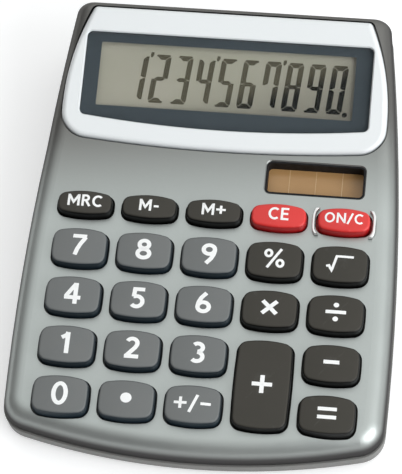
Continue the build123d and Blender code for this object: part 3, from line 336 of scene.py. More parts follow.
# Tones are linear colours, gloss is the span of roughness, grain is in mm, and speck, bump and wear are
# strengths. Fade, flank and hole tones are painted shade, laid over the first four in that order, and the
# proud tone is a painted highlight laid last.
finishes = {
    "silverPaint": {  # sprayed metallic over grey plastic
        "tone": (0.455, 0.485, 0.47), "toneTwo": (0.475, 0.505, 0.488), "speckTone": (0.6, 0.64, 0.62),
        "edgeTone": (0.5, 0.53, 0.52), "gloss": (0.34, 0.4), "grain": 0.16, "speck": 0.16, "bump": 0.1,
        "wear": 0.2, "shader": {"Metallic": 0.85, "Specular Tint": (0.36, 0.36, 0.36, 1)},
        # Painted shade: the flank tone darkens the rims, the hole tone the key holes and the fade tone the
        # deck towards the display; the proud tone is a painted highlight on the guard ribs
        "flankPaintedShade": (0.072, 0.07, 0.07), "flankSpan": (0.2, 0.9), "holePaintedShade": (0.008, 0.008, 0.008),
        "ridgePaintedHighlight": (0.92, 0.93, 0.92), "fade": "body", "fadeShadeTone": (0.185, 0.182, 0.172),
        "fadeSpan": (-2.0, 38.0),
    },
    "lowerGrey": {  # bare textured plastic of the lower housing
        "tone": (0.155, 0.155, 0.148), "toneTwo": (0.17, 0.168, 0.16), "speckTone": (0.24, 0.235, 0.22),
        "edgeTone": (0.3, 0.295, 0.28), "gloss": (0.48, 0.6), "grain": 0.35, "speck": 0.25, "bump": 0.35,
        "wear": 0.3,
    },
    "bezelWhite": {  # pearly white lacquer
        "tone": (0.83, 0.855, 0.86), "toneTwo": (0.835, 0.86, 0.865), "speckTone": (0.88, 0.9, 0.91),
        "edgeTone": (0.84, 0.86, 0.87), "gloss": (0.3, 0.32), "grain": 0.5, "speck": 0.06, "bump": 0.0,
        "wear": 0.0, "shader": {"Coat Weight": 0.3, "Coat Roughness": 0.2},
        # Painted shade: the bezel's rounded flanks are darkened
        "flankPaintedShade": (0.5, 0.53, 0.54), "flankSpan": (0.2, 0.93),
    },
    "digitGrey": {
        "tone": (0.162, 0.17, 0.168), "toneTwo": (0.17, 0.176, 0.173), "speckTone": (0.19, 0.2, 0.2),
        "edgeTone": (0.19, 0.205, 0.21), "gloss": (0.4, 0.47), "grain": 0.22, "speck": 0.15, "bump": 0.12,
        "wear": 0.25, "patch": 9.0, "shader": {"Specular IOR Level": 0.22},
        # Painted shade: the sides of the keys are darkened
        "flankPaintedShade": (0.01, 0.019, 0.027), "flankSpan": (0.35, 0.985),
    },
    "functionBlack": {
        "tone": (0.05, 0.047, 0.039), "toneTwo": (0.054, 0.05, 0.042), "speckTone": (0.07, 0.066, 0.058),
        "edgeTone": (0.1, 0.1, 0.09), "gloss": (0.4, 0.47), "grain": 0.22, "speck": 0.15, "bump": 0.12,
        "wear": 0.25, "patch": 9.0, "shader": {"Specular IOR Level": 0.18},
        # Painted shade: the sides of the keys are darkened
        "flankPaintedShade": (0.003, 0.003, 0.003), "flankSpan": (0.5, 0.985),
    },
    "keyRed": {
        "tone": (0.7, 0.03, 0.026), "toneTwo": (0.72, 0.036, 0.032), "speckTone": (0.76, 0.08, 0.07),
        "edgeTone": (0.8, 0.14, 0.13), "gloss": (0.36, 0.44), "grain": 0.22, "speck": 0.15, "bump": 0.1,
        # Painted shade: the sides of the keys are darkened
        "wear": 0.25, "patch": 9.0, "flankPaintedShade": (0.46, 0.008, 0.01), "flankSpan": (0.1, 0.93),
    },
    "legendWhite": {  # printed ink
        "tone": (0.93, 0.94, 0.93), "toneTwo": (0.95, 0.95, 0.94), "speckTone": (0.97, 0.97, 0.96),
        "edgeTone": (0.93, 0.93, 0.92), "gloss": (0.4, 0.5), "grain": 0.12, "speck": 0.2, "bump": 0.05,
        "wear": 0.1, "patch": 5.0,
    },
    "windowPrint": {  # slate ink behind the window's border
        "tone": (0.046, 0.057, 0.064), "toneTwo": (0.05, 0.061, 0.068), "speckTone": (0.058, 0.07, 0.077),
        "edgeTone": (0.05, 0.06, 0.07), "gloss": (0.35, 0.45), "grain": 0.12, "speck": 0.2, "bump": 0.03,
        "wear": 0.1, "shader": {"Specular IOR Level": 0.0},
    },
    "panelFilm": {  # the display's grey-olive ground
        "tone": (0.308, 0.282, 0.23), "toneTwo": (0.28, 0.266, 0.207), "speckTone": (0.33, 0.315, 0.25),
        "edgeTone": (0.31, 0.295, 0.23), "gloss": (0.4, 0.5), "grain": 0.1, "speck": 0.25, "bump": 0.03,
        # Painted shade: the ground darkens towards the display's lower right
        "wear": 0.1, "patch": 34.0, "shader": {"Specular IOR Level": 0.15}, "fade": "display",
        "fadeShadeTone": (0.18, 0.165, 0.132), "fadeSpan": (-105.0, -50.0),
    },
    "segmentInk": {
        "tone": (0.062, 0.054, 0.034), "toneTwo": (0.066, 0.058, 0.037), "speckTone": (0.07, 0.062, 0.04),
        "edgeTone": (0.06, 0.054, 0.034), "gloss": (0.4, 0.5), "grain": 0.12, "speck": 0.2, "bump": 0.03,
        # Painted shade: the figures darken towards the display's lower right
        "wear": 0.1, "patch": 20.0, "shader": {"Specular IOR Level": 0.1}, "fade": "display",
        "fadeShadeTone": (0.003, 0.003, 0.002), "fadeSpan": (-88.0, -72.0),
    },
    "cellBrown": {  # amorphous cell under its glass
        "tone": (0.5, 0.285, 0.115), "toneTwo": (0.47, 0.265, 0.105), "speckTone": (0.55, 0.32, 0.135),
        "edgeTone": (0.5, 0.29, 0.12), "gloss": (0.18, 0.26), "grain": 0.3, "speck": 0.25, "bump": 0.02,
        "wear": 0.1, "patch": 7.0,
    },
    "cellLine": {
        "tone": (0.62, 0.42, 0.22), "toneTwo": (0.7, 0.5, 0.28), "speckTone": (0.75, 0.55, 0.33),
        "edgeTone": (0.7, 0.5, 0.3), "gloss": (0.3, 0.4), "grain": 0.2, "speck": 0.3, "bump": 0.03,
        "wear": 0.1,
    },
    "surroundBlack": {
        "tone": (0.004, 0.004, 0.005), "toneTwo": (0.006, 0.006, 0.007),
        "speckTone": (0.012, 0.012, 0.014), "edgeTone": (0.05, 0.05, 0.055), "gloss": (0.6, 0.7),
        "grain": 0.2, "speck": 0.2, "bump": 0.1, "wear": 0.2, "shader": {"Specular IOR Level": 0.2},
    },
    "footRubber": {
        "tone": (0.022, 0.022, 0.021), "toneTwo": (0.028, 0.027, 0.026), "speckTone": (0.05, 0.05, 0.048),
        "edgeTone": (0.06, 0.06, 0.058), "gloss": (0.7, 0.85), "grain": 0.3, "speck": 0.3, "bump": 0.3,
        "wear": 0.3, "patch": 6.0,
    },
    "matSilicone": {
        "tone": (0.5, 0.5, 0.47), "toneTwo": (0.54, 0.54, 0.51), "speckTone": (0.6, 0.6, 0.57),
        "edgeTone": (0.6, 0.6, 0.57), "gloss": (0.5, 0.6), "grain": 0.3, "speck": 0.2, "bump": 0.1,
        "wear": 0.1, "shader": {"Subsurface Weight": 0.1, "Subsurface Scale": 0.001},
    },
    "boardBrown": {
        "tone": (0.26, 0.14, 0.05), "toneTwo": (0.3, 0.165, 0.06), "speckTone": (0.36, 0.21, 0.09),
        "edgeTone": (0.42, 0.27, 0.13), "gloss": (0.45, 0.6), "grain": 0.4, "speck": 0.3, "bump": 0.15,
        "wear": 0.3,
    },
    "pottingBlack": {
        "tone": (0.012, 0.012, 0.012), "toneTwo": (0.016, 0.016, 0.016), "speckTone": (0.03, 0.03, 0.03),
        "edgeTone": (0.03, 0.03, 0.03), "gloss": (0.18, 0.3), "grain": 0.5, "speck": 0.2, "bump": 0.05,
        "wear": 0.1, "patch": 3.0,
    },
    "plainSteel": {
        "tone": (0.6, 0.6, 0.58), "toneTwo": (0.55, 0.55, 0.53), "speckTone": (0.66, 0.66, 0.65),
        "edgeTone": (0.72, 0.72, 0.7), "gloss": (0.24, 0.38), "grain": 0.15, "speck": 0.3, "bump": 0.1,
        "wear": 0.4, "patch": 2.0, "shader": {"Metallic": 1.0},
    },
    "tinnedCopper": {
        "tone": (0.62, 0.4, 0.24), "toneTwo": (0.66, 0.52, 0.4), "speckTone": (0.72, 0.6, 0.5),
        "edgeTone": (0.7, 0.6, 0.5), "gloss": (0.25, 0.4), "grain": 0.15, "speck": 0.3, "bump": 0.08,
        "wear": 0.3, "patch": 2.0, "shader": {"Metallic": 1.0},
    },
    "tapeGrey": {
        "tone": (0.05, 0.05, 0.052), "toneTwo": (0.06, 0.06, 0.062), "speckTone": (0.09, 0.09, 0.09),
        "edgeTone": (0.09, 0.09, 0.09), "gloss": (0.6, 0.75), "grain": 0.4, "speck": 0.3, "bump": 0.15,
        "wear": 0.1,
    },
    "ribbonAmber": {
        "tone": (0.45, 0.24, 0.07), "toneTwo": (0.5, 0.28, 0.09), "speckTone": (0.55, 0.33, 0.12),
        "edgeTone": (0.55, 0.33, 0.12), "gloss": (0.25, 0.35), "grain": 0.3, "speck": 0.2, "bump": 0.05,
        "wear": 0.1,
    },
    "sleeveBlue": {
        "tone": (0.025, 0.04, 0.09), "toneTwo": (0.03, 0.048, 0.11), "speckTone": (0.05, 0.07, 0.14),
        "edgeTone": (0.08, 0.1, 0.16), "gloss": (0.2, 0.3), "grain": 0.3, "speck": 0.15, "bump": 0.04,
        "wear": 0.2,
    },
    "leadBlack": {
        "tone": (0.015, 0.015, 0.015), "toneTwo": (0.02, 0.02, 0.02), "speckTone": (0.035, 0.035, 0.035),
        "edgeTone": (0.04, 0.04, 0.04), "gloss": (0.35, 0.5), "grain": 0.3, "speck": 0.2, "bump": 0.06,
        "wear": 0.1,
    },
    "leadRed": {
        "tone": (0.48, 0.02, 0.02), "toneTwo": (0.52, 0.03, 0.03), "speckTone": (0.58, 0.06, 0.05),
        "edgeTone": (0.58, 0.08, 0.07), "gloss": (0.35, 0.5), "grain": 0.3, "speck": 0.2, "bump": 0.06,
        "wear": 0.1,
    },
}
made = {name: makeFinish(name, look) for name, look in finishes.items()}
made.update({name: makeClear(name, look) for name, look in clears.items()})
print("stage: finishes are mixed")

digitKeys = ["key_%d" % n for n in range(10)] + ["key_point", "key_sign"]
redKeys = ["key_clear_entry", "key_on"]
otherKeys = [
    "key_plus", "key_times", "key_percent", "key_equals", "key_minus", "key_divide", "key_root",
    "key_memory_recall", "key_memory_minus", "key_memory_plus",
]
dressing = {
    "silverPaint": ["top_housing"],
    "lowerGrey": ["bottom_housing", "battery_door", "lcd_bracket"],
    "bezelWhite": ["display_bezel"],
    "windowClear": ["display_lens"],
    "panelFilm": ["lcd_front_film", "lcd_reflector"],
    "panelClear": ["lcd_front_glass", "lcd_rear_glass"],
    "cellBrown": ["solar_cell"],
    "tapeGrey": ["lens_tape", "solar_pad"],
    "surroundBlack": ["solar_surround"],
    "ribbonAmber": ["lcd_ribbon"],
    "tinnedCopper": ["solar_links"],
    "matSilicone": ["key_mat"],
    "boardBrown": ["main_board"],
    "pottingBlack": ["chip_cover", "resistors"],
    "sleeveBlue": ["capacitor"],
    "plainSteel": ["battery_cell", "contact_negative", "contact_positive", "housing_screws", "board_screws",
                   "bracket_screws"],
    "leadBlack": ["lead_negative"],
    "leadRed": ["lead_positive"],
    "footRubber": ["rubber_feet"],
    "digitGrey": digitKeys,
    "keyRed": redKeys,
    "functionBlack": otherKeys,
}
for finish, dressed in dressing.items():
    for name in dressed:
        piece = nodes[name]
        piece.data.materials.clear()
        piece.data.materials.append(made[finish])
print("stage: the CAD pieces are dressed")


# Strokes for legends: width of the box, one unit high, and the centre lines in it
def arc(cx, cy, rx, ry, start, end, steps=18):
    points = []
    for i in range(steps + 1):
        angle = math.radians(start + (end - start) * i / steps)
        points.append((cx + rx * math.cos(angle), cy + ry * math.sin(angle)))
    return points


letterShapes = {
    "0": (0.68, [arc(0.34, 0.49, 0.25, 0.455, 90, 450, 40)]),
    "1": (0.46, [[(0.02, 0.735), (0.13, 0.80), (0.235, 0.87), (0.27, 1.0)], [(0.27, 1.0), (0.27, 0.0)]]),
    "2": (0.64, [arc(0.31, 0.70, 0.215, 0.215, 155, -28, 20) + [(0.45, 0.50), (0.10, 0.085)],
                 [(0.03, 0.085), (0.62, 0.085)]]),
    "3": (0.60, [arc(0.27, 0.725, 0.205, 0.19, 140, -90, 20), arc(0.26, 0.295, 0.235, 0.21, 90, -140, 22)]),
    "4": (0.72, [[(0.47, 0.97), (0.085, 0.34)], [(0.02, 0.30), (0.70, 0.30)], [(0.48, 1.0), (0.48, 0.0)]]),
    "5": (0.62, [[(0.57, 0.915), (0.16, 0.915), (0.135, 0.55)],
                 [(0.135, 0.56)] + arc(0.265, 0.33, 0.245, 0.245, 112, -140, 24)]),
    "6": (0.66, [arc(0.33, 0.30, 0.235, 0.215, 0, 360, 32),
                 [(0.095, 0.33), (0.13, 0.52), (0.22, 0.72), (0.42, 0.97)]]),
    "7": (0.62, [[(0.02, 0.915), (0.60, 0.915)], [(0.56, 0.87), (0.37, 0.55), (0.25, 0.28), (0.17, 0.0)]]),
    "8": (0.66, [arc(0.33, 0.725, 0.20, 0.19, 0, 360, 30), arc(0.33, 0.29, 0.245, 0.205, 0, 360, 32)]),
    "9": (0.66, [arc(0.33, 0.70, 0.235, 0.215, 0, 360, 32),
                 [(0.565, 0.67), (0.53, 0.48), (0.44, 0.28), (0.24, 0.03)]]),
    ".": (0.50, []),  # its dot stands in the list below
    "+": (0.70, [[(0.0, 0.5), (0.70, 0.5)], [(0.35, 0.15), (0.35, 0.85)]]),
    "-": (0.62, [[(0.03, 0.5), (0.59, 0.5)]]),
    "_": (0.42, [[(0.03, 0.42), (0.40, 0.42)]]),
    "/": (0.44, [[(0.02, -0.06), (0.42, 1.02)]]),
    "x": (0.66, [[(0.06, 0.23), (0.60, 0.77)], [(0.06, 0.77), (0.60, 0.23)]]),
    "=": (0.70, [[(0.0, 0.33), (0.70, 0.33)], [(0.0, 0.67), (0.70, 0.67)]]),
    ":": (0.74, [[(0.0, 0.5), (0.74, 0.5)]]),
    "%": (0.92, [arc(0.19, 0.75, 0.14, 0.165, 0, 360, 26), arc(0.73, 0.25, 0.14, 0.165, 0, 360, 26),
                 [(0.16, 0.0), (0.76, 1.0)]]),
    "v": (1.30, [[(0.0, 0.30), (0.13, 0.34), (0.27, 0.05), (0.47, 0.87), (1.28, 0.87)]]),
    "M": (0.92, [[(0.09, 0.0), (0.09, 1.0)], [(0.09, 0.97), (0.46, 0.30), (0.83, 0.97)],
                 [(0.83, 0.0), (0.83, 1.0)]]),
    "R": (0.66, [[(0.09, 0.0), (0.09, 1.0)],
                 [(0.09, 0.925), (0.30, 0.925)] + arc(0.30, 0.715, 0.21, 0.21, 90, -90, 16)
                 + [(0.09, 0.505)], [(0.32, 0.50), (0.62, 0.0)]]),
    "C": (0.74, [arc(0.44, 0.5, 0.35, 0.42, 48, 312, 30)]),
    "E": (0.58, [[(0.09, 0.0), (0.09, 1.0)], [(0.09, 0.925), (0.56, 0.925)], [(0.09, 0.51), (0.52, 0.51)],
                 [(0.09, 0.075), (0.56, 0.075)]]),
    "O": (0.86, [arc(0.43, 0.5, 0.345, 0.42, 90, 450, 40)]),
    "N": (0.78, [[(0.09, 0.0), (0.09, 1.0)], [(0.09, 0.96), (0.69, 0.04)], [(0.69, 0.0), (0.69, 1.0)]]),
}
dots = {".": [(0.25, 0.50, 0.21)], ":": [(0.37, 0.79, 0.10), (0.37, 0.21, 0.10)]}  # centre and radius


# How ink is drawn from the strokes
ink = {
    "run": 0.12,  # most between two rows of points
    "across": 4,  # faces across a stroke
    "mitre": 1.8,  # most that a row is stretched at a corner
    "sharpest": 0.3,
    "rings": 5,  # of a dot
    "sides": 28,
    "dotMiddle": 0.001,  # share of a dot left open
}


def strokeRows(points, width):  # rows of points across a stroke, mitred at its corners
    steps = []
    for a, b in zip(points, points[1:]):
        run = max(1, int(math.dist(a, b) / ink["run"]))
        steps += [(a[0] + (b[0] - a[0]) * i / run, a[1] + (b[1] - a[1]) * i / run) for i in range(run)]
    steps.append(points[-1])
    closed = math.dist(points[0], points[-1]) < 1e-6
    rows = []
    for i, here in enumerate(steps):
        before = steps[i - 1] if i else (steps[-2] if closed else here)
        after = steps[i + 1] if i < len(steps) - 1 else (steps[1] if closed else here)
        incoming = Vector((here[0] - before[0], here[1] - before[1]))
        outgoing = Vector((after[0] - here[0], after[1] - here[1]))
        incoming = (incoming if incoming.length > 1e-9 else outgoing).normalized()
        outgoing = (outgoing if outgoing.length > 1e-9 else incoming).normalized()
        along = (incoming + outgoing).normalized()
        stretch = min(ink["mitre"], 1 / max(ink["sharpest"], along.dot(outgoing)))
        side = Vector((-along.y, along.x)) * (width / 2 * stretch)
        shares = [1 - 2 * k / ink["across"] for k in range(ink["across"] + 1)]
        rows.append([(here[0] + side.x * share, here[1] + side.y * share) for share in shares])
    return rows


def discRows(cx, cy, radius):
    rows = []
    shares = [1 - k / ink["rings"] * (1 - ink["dotMiddle"]) for k in range(ink["rings"] + 1)]
    for i in range(ink["sides"] + 1):
        angle = -2 * math.pi * i / ink["sides"]
        x, y = math.cos(angle) * radius, math.sin(angle) * radius
        rows.append([(cx + x * share, cy + y * share) for share in shares])
    return rows


def linkMesh(name, verts, faces):
    mesh = bpy.data.meshes.new(name)
    mesh.from_pydata(verts, [], faces)
    mesh.update()
    piece = bpy.data.objects.new(name, mesh)
    bpy.context.scene.collection.objects.link(piece)
    return piece


# Lays flat ink shapes on a surface given by a height function, with a little body of its own
def inkMesh(name, sheets, surface, thickness):
    verts, faces = [], []
    for rows in sheets:
        first = len(verts)
        wide = len(rows[0])
        for row in rows:
            verts += [surface(x, y, thickness) for x, y in row]
        for i in range(len(rows) - 1):
            for k in range(wide - 1):
                a = first + i * wide + k
                faces.append((a, a + 1, a + 1 + wide, a + wide))
        rim = [first + k for k in range(wide)]
        rim += [first + i * wide + wide - 1 for i in range(1, len(rows))]
        rim += [first + (len(rows) - 1) * wide + k for k in range(wide - 2, -1, -1)]
        rim += [first + i * wide for i in range(len(rows) - 2, 0, -1)]
        flat = [p for row in rows for p in row]
        low = len(verts)
        verts += [surface(*flat[i - first], -thickness) for i in rim]
        for i in range(len(rim)):
            j = (i + 1) % len(rim)
            faces.append((rim[j], rim[i], low + i, low + j))
    return linkMesh(name, verts, faces)


# The words and signs on the keys
legends = {
    "inkDepth": 0.02,  # mm
    "letterGap": 0.14,  # share of the height
    "widen": 1.08,
    "crown": 62.0,  # radius of a key's domed face, mm
    "tallCrown": 139.0,
    "keys": {  # text, height in mm, stroke as a share of it, lift up the key in mm
        "key_0": ("0", 6.25, 0.18, 0.25),
        "key_1": ("1", 6.25, 0.185, 0.25),
        "key_2": ("2", 6.25, 0.18, 0.25),
        "key_3": ("3", 6.25, 0.18, 0.25),
        "key_4": ("4", 6.25, 0.18, 0.25),
        "key_5": ("5", 6.25, 0.18, 0.25),
        "key_6": ("6", 6.25, 0.18, 0.25),
        "key_7": ("7", 6.25, 0.18, 0.25),
        "key_8": ("8", 6.25, 0.18, 0.25),
        "key_9": ("9", 6.25, 0.18, 0.25),
        "key_point": (".", 6.9, 0.16, 0.3),
        "key_sign": ("+/-", 4.7, 0.165, 0.2),
        "key_plus": ("+", 7.4, 0.15, -0.2),
        "key_times": ("x", 6.9, 0.16, 0.3),
        "key_percent": ("%", 5.8, 0.125, 0.3),
        "key_equals": ("=", 6.9, 0.15, 0.3),
        "key_minus": ("-", 7.2, 0.15, 0.3),
        "key_divide": (":", 7.1, 0.14, 0.3),
        "key_root": ("v", 5.4, 0.125, 0.2),
        "key_memory_recall": ("MRC", 3.5, 0.185, 0.45),
        "key_memory_minus": ("M_", 3.5, 0.18, 0.35),
        "key_memory_plus": ("M+", 3.55, 0.18, 0.4),
        "key_clear_entry": ("CE", 3.7, 0.17, 0.45),
        "key_on": ("ON/C", 3.1, 0.17, 0.45),
    },
}


def makeLegend(key, text, height, stroke, lift):
    crown = legends["tallCrown"] if key == "key_plus" else legends["crown"]
    low, high = boxIn(deckSpace, key)
    middle = (low + high) / 2

    def surface(x, y, above):
        z = high.z - crown + math.sqrt(crown * crown - x * x - y * y) + above
        return deckSpace @ (Vector((middle.x + x, middle.y + y, z)) * mm)

    total = sum(letterShapes[letter][0] for letter in text) + legends["letterGap"] * (len(text) - 1)
    spread = height * legends["widen"]
    sheets, pen = [], -total / 2
    for letter in text:
        wide, strokes = letterShapes[letter]
        shapes = [strokeRows(points, stroke) for points in strokes]
        shapes += [discRows(*spot) for spot in dots.get(letter, [])]
        for rows in shapes:
            sheets.append([[((x + pen) * spread, (y - 0.5) * height + lift) for x, y in row]
                           for row in rows])
        pen += wide + legends["letterGap"]
    piece = inkMesh(key.replace("key_", "legend_"), sheets, surface, legends["inkDepth"])
    piece.data.materials.append(made["legendWhite"])
    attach(piece, key)


for key, (text, height, stroke, lift) in legends["keys"].items():
    makeLegend(key, text, height, stroke, lift)
print("stage: legends are printed on the keys")

# The figures on the display: distances in mm across the panel and up the slope
display = {
    "text": "1'234'567'890.",
    "right": 33.55,  # the last figure's right side, at its foot
    "foot": 14.6,  # up the slope
    "pitch": 6.45,
    "width": 4.65,
    "height": 14.8,
    "lean": 0.09,  # sideways per unit of height
    "bar": 1.55,
    "gap": 0.1,
    "blunt": 0.45,  # share of the bar cut off an outer corner
    "tip": (0.3, 0.8, 0.75),  # how a level bar's end is rounded, in shares of that cut
    "waist": 0.4,  # half of the middle bar, as a share of the bar
    "slant": 0.75,  # of an upright's inner end, in shares of the cut
    "point": 0.75,  # radius
    "pointGap": 1.0,
    "tickGap": 0.25,
    "tick": [(0.15, 0.65, -0.95), (0.0, 1.0, -0.2), (0.1, 0.95, 0.6)],  # left, right, height over the top
    "inkDepth": 0.015,
    "inkLift": 0.03,
}
segmentsOf = {
    "0": "abcdef", "1": "bc", "2": "abged", "3": "abgcd", "4": "fgbc", "5": "afgcd", "6": "acdefg",
    "7": "abcf", "8": "abcdefg", "9": "abcdfg",
}


def segmentRows(kind):  # one bar of a figure, mitred where it meets another
    w, h, b, g = (display[name] for name in ("width", "height", "bar", "gap"))
    mid, cut = h / 2, b * display["blunt"]
    out, up, end = (cut * share for share in display["tip"])
    waist, slant = b * display["waist"], cut * display["slant"]
    level = {
        "a": [(b + g, h - b), (cut + g, h - cut), (out, h - up), (end, h)],
        "d": [(end, 0), (out, up), (cut + g, cut), (b + g, b)],
        "g": [(b, mid - waist), (cut + g / 2, mid), (b, mid + waist)],
    }
    if kind in level:
        return [[(x, y), (w / 2, y), (w - x, y)] for x, y in level[kind]]
    upper = [[(0, mid + g), (cut, mid + g), (b, mid + g + slant)],
             [(0, h - g - cut), (cut, h - g - cut), (b, h - g - b)]]
    lower = [[(0, g + cut), (cut, g + cut), (b, g + b)],
             [(0, mid - g), (cut, mid - g), (b, mid - g - slant)]]
    rows = upper if kind in "bf" else lower
    if kind in "bc":
        rows = [[(w - x, y) for x, y in reversed(row)] for row in rows]
    return rows


def markRows(mark):  # a point or a tick stands to the right of its figure
    if mark == ".":
        return [discRows(display["width"] + display["pointGap"], 0, display["point"])]
    if mark == "'":
        edge, top = display["width"] + display["tickGap"], display["height"]
        return [[[(edge + left, top + over), (edge + right, top + over)]
                 for left, right, over in display["tick"]]]
    return [segmentRows(kind) for kind in segmentsOf[mark]]


def makeFigures():
    sheets, lean, foot = [], display["lean"], display["foot"]
    x = display["right"] - display["width"]
    for mark in reversed(display["text"]):
        for rows in markRows(mark):
            sheets.append([[(x + px + py * lean, foot + py) for px, py in row] for row in rows])
        if mark in segmentsOf:
            x -= display["pitch"]
    panelFace = boxIn(slopeSpace, "lcd_front_film")[1].z

    def surface(px, py, above):
        return slopeSpace @ (Vector((px, py, panelFace + display["inkLift"] + above)) * mm)

    piece = inkMesh("display_figures", sheets, surface, display["inkDepth"])
    piece.data.materials.append(made["segmentInk"])
    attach(piece, "housing")


makeFigures()
print("stage: the display shows its figures")

# The dark border printed on the back of the window, and the sight through it, in mm
windowBorder = {
    "side": 41.6,
    "foot": 7.0,
    "bow": 2.5,  # how far the foot swings down between its corners
    "top": 34.5,
    "corner": 1.5,
    "sightLeft": 37.4,
    "sightRight": 36.8,
    "sightFoot": 12.6,
    "sightTop": 31.9,
    "sightCorner": 0.4,
    "height": -0.92,  # just inside the window's back face
    "inkDepth": 0.015,
    "cornerSteps": 8,
    "footSteps": 24,
}


def roundedLoop(corners, radius, dip):  # the corners, then the foot's stretch back to the first
    loop, steps = [], windowBorder["cornerSteps"]
    for i, corner in enumerate(corners):
        here = Vector(corner)
        before = (Vector(corners[i - 1]) - here).normalized()
        after = (Vector(corners[(i + 1) % len(corners)]) - here).normalized()
        half = before.angle(after) / 2
        reach = radius / math.tan(half)
        centre = here + (before + after).normalized() * (radius / math.sin(half))
        start, end = here + before * reach - centre, here + after * reach - centre
        turn = start.angle_signed(end)
        for k in range(steps + 1):
            angle = -turn * k / steps
            loop.append((centre.x + start.x * math.cos(angle) - start.y * math.sin(angle),
                         centre.y + start.x * math.sin(angle) + start.y * math.cos(angle)))
    (fromX, level), (toX, _) = loop[-1], loop[0]
    for k in range(1, windowBorder["footSteps"]):
        share = k / windowBorder["footSteps"]
        loop.append((fromX + (toX - fromX) * share, level - dip * (1 - (2 * share - 1) ** 2)))
    return loop


def makeBorder():
    b = windowBorder
    low, side, left, right = b["foot"] + b["bow"], b["side"], -b["sightLeft"], b["sightRight"]
    outer = [(side, low), (side, b["top"]), (-side, b["top"]), (-side, low)]
    sight = [(right, b["sightFoot"]), (right, b["sightTop"]), (left, b["sightTop"]), (left, b["sightFoot"])]
    loop = roundedLoop(outer, b["corner"], b["bow"])
    count = len(loop)
    loop += roundedLoop(sight, b["sightCorner"], 0)
    verts = [slopeSpace @ (Vector((x, y, b["height"])) * mm) for x, y in loop]
    faces = [(i, (i + 1) % count, count + (i + 1) % count, count + i) for i in range(count)]
    piece = linkMesh("window_border", verts, faces)
    piece.data.materials.append(made["windowPrint"])
    thick = piece.modifiers.new("ink", "SOLIDIFY")
    thick.thickness = b["inkDepth"] * mm
    thick.offset = 0
    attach(piece, "housing")


makeBorder()
print("stage: the window's border is printed")

# The solar cell's dividing lines
solar = {"lines": 3, "lineWidth": 0.16, "lift": 0.012, "inkDepth": 0.01, "runs": 4}  # mm


def makeCellLines():
    low, high = boxIn(deckSpace, "solar_cell")
    half = solar["lineWidth"] / 2
    sheets = []
    for i in range(solar["lines"]):
        x = low.x + (high.x - low.x) * (i + 1) / (solar["lines"] + 1)
        levels = [high.y - (high.y - low.y) * k / solar["runs"] for k in range(solar["runs"] + 1)]
        sheets.append([[(x - half, y), (x + half, y)] for y in levels])

    def surface(px, py, above):
        return deckSpace @ (Vector((px, py, high.z + solar["lift"] + above)) * mm)

    piece = inkMesh("solar_lines", sheets, surface, solar["inkDepth"])
    piece.data.materials.append(made["cellLine"])
    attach(piece, "housing")


makeCellLines()
print("stage: the solar cell is ruled")

# The view: where the camera stands, seen from the deck
viewpoint = {
    "azimuth": 14.24,  # degrees, as the next two
    "elevation": 66.5,
    "roll": -9.09,
    "target": (-2.52, -4.038, 1.7),  # mm on the deck
    "distance": 702.33,  # mm
    "lens": 189.4,
    "sensor": 36.0,
    "clip": (0.01, 20.0),  # m
}


def placeCamera():
    az, el, roll = (math.radians(viewpoint[k]) for k in ("azimuth", "elevation", "roll"))
    back = Vector((math.sin(az) * math.cos(el), -math.cos(az) * math.cos(el), math.sin(el)))
    spot = (Vector(viewpoint["target"]) + back * viewpoint["distance"]) * mm
    right = (-back).cross(Vector((0, 0, 1))).normalized()
    up = right.cross(-back)
    across = right * math.cos(roll) + up * math.sin(roll)
    upward = up * math.cos(roll) - right * math.sin(roll)
    turned = Matrix((across, upward, back)).transposed().to_4x4()
    camera = bpy.data.objects.new("camera", bpy.data.cameras.new("camera"))
    bpy.context.scene.collection.objects.link(camera)
    camera.matrix_world = deckSpace @ Matrix.Translation(spot) @ turned
    camera.data.lens = viewpoint["lens"]
    camera.data.sensor_width = viewpoint["sensor"]
    camera.data.clip_start, camera.data.clip_end = viewpoint["clip"]
    bpy.context.scene.camera = camera


placeCamera()

# Plain studio: pale floor, one soft lamp, a room that is brighter overhead and behind
studio = {
    "floorTone": (0.86, 0.86, 0.86),
    "floorReach": 4.0,  # m from the middle
    "floorGloss": {"Roughness": 0.9, "Specular IOR Level": 0.1},
    "floorGrain": {"Size mm": 1.5, "Spread": 0.2},
    "floorBump": (0.05, 0.05),  # strength, relief in mm
    "floorLift": 0.36,  # the paper's own brightness to the eye, so that it reads as white
    "roomDark": (0.16, 0.155, 0.155),
    "roomLight": (0.98, 1.0, 1.0),
    "roomStrength": 1.04,
    "roomTowards": (0.28, 0.46, 0.84),  # the bright side of the room
    "roomSpread": (0.1, 0.9),
    "lampPlace": (0.95, -0.60, 0.48),  # m
    "lampAim": (0, 0, 0.02),
    "lampSize": 1.3,  # m
    "lampPower": 15.0,  # watts
    "lampTint": (0.96, 0.98, 1.0),
}


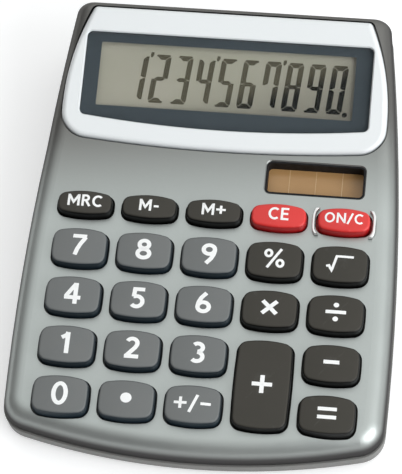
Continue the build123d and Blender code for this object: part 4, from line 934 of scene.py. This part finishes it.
def makeRoom(scene):
    world = bpy.data.worlds.new("room")
    world.use_nodes = True
    scene.world = world
    tree = world.node_tree
    tree.nodes.clear()
    place = addNode(tree, "ShaderNodeTexCoord", (-900, 0)).outputs
    towards = Vector(studio["roomTowards"]).normalized()
    facing = reachAlong(tree, (-700, 0), place["Generated"], towards)
    share = ramp(tree, (-500, 0), facing, studio["roomSpread"])
    tones = mixColours(tree, (-260, 0), share, studio["roomDark"], studio["roomLight"])
    room = addNode(tree, "ShaderNodeBackground", (0, 0))
    room = feed(tree, room, {"Strength": studio["roomStrength"], "Color": tones})[0]
    feed(tree, addNode(tree, "ShaderNodeOutputWorld", (240, 0)), {"Surface": room})


def makePaper():
    paper, tree, shader = startMaterial("paper")
    output = tree.nodes["Material Output"]
    output.location = (700, 0)
    grained = placeGroup(tree, grainGroup, (-500, -200), studio["floorGrain"])
    bump = addNode(tree, "ShaderNodeBump", (-240, -200))
    strength, relief = studio["floorBump"]
    feed(tree, bump, {"Strength": strength, "Distance": relief * mm, "Height": grained["Height"]})
    feed(tree, shader, {"Base Color": (*studio["floorTone"], 1), "Normal": bump.outputs["Normal"]})
    surface = feed(tree, shader, studio["floorGloss"])[0]
    rays = addNode(tree, "ShaderNodeLightPath", (0, 400)).outputs
    seen = rays["Is Camera Ray"]
    for other in ("Is Glossy Ray", "Is Transmission Ray"):
        seen = reckon(tree, (200, 400), "ADD", seen, rays[other], use_clamp=True)
    seen = reckon(tree, (200, 160), "MULTIPLY", seen, studio["floorLift"])
    lift = feed(tree, addNode(tree, "ShaderNodeEmission", (200, -260)), {"Strength": seen})[0]
    both = feed(tree, addNode(tree, "ShaderNodeAddShader", (450, 0)), {0: surface, 1: lift})[0]
    feed(tree, output, {"Surface": both})
    return paper


def makeFloor():
    reach = studio["floorReach"]
    corners = [(-reach, -reach, 0), (reach, -reach, 0), (reach, reach, 0), (-reach, reach, 0)]
    floor = linkMesh("floor", corners, [(0, 1, 2, 3)])
    floor.data.materials.append(makePaper())


def makeLamp(scene):
    light = bpy.data.lights.new("cornerLamp", "AREA")
    light.shape = "DISK"
    light.size = studio["lampSize"]
    light.energy = studio["lampPower"]
    light.color = studio["lampTint"]
    lamp = bpy.data.objects.new("cornerLamp", light)
    scene.collection.objects.link(lamp)
    place = Vector(studio["lampPlace"])
    lamp.location = place
    lamp.rotation_mode = "QUATERNION"
    lamp.rotation_quaternion = (Vector(studio["lampAim"]) - place).to_track_quat("-Z", "Y")


makeRoom(bpy.context.scene)
makeFloor()
makeLamp(bpy.context.scene)
bpy.context.scene.view_settings.view_transform = "Standard"
print("stage: camera, lamp and floor are set")
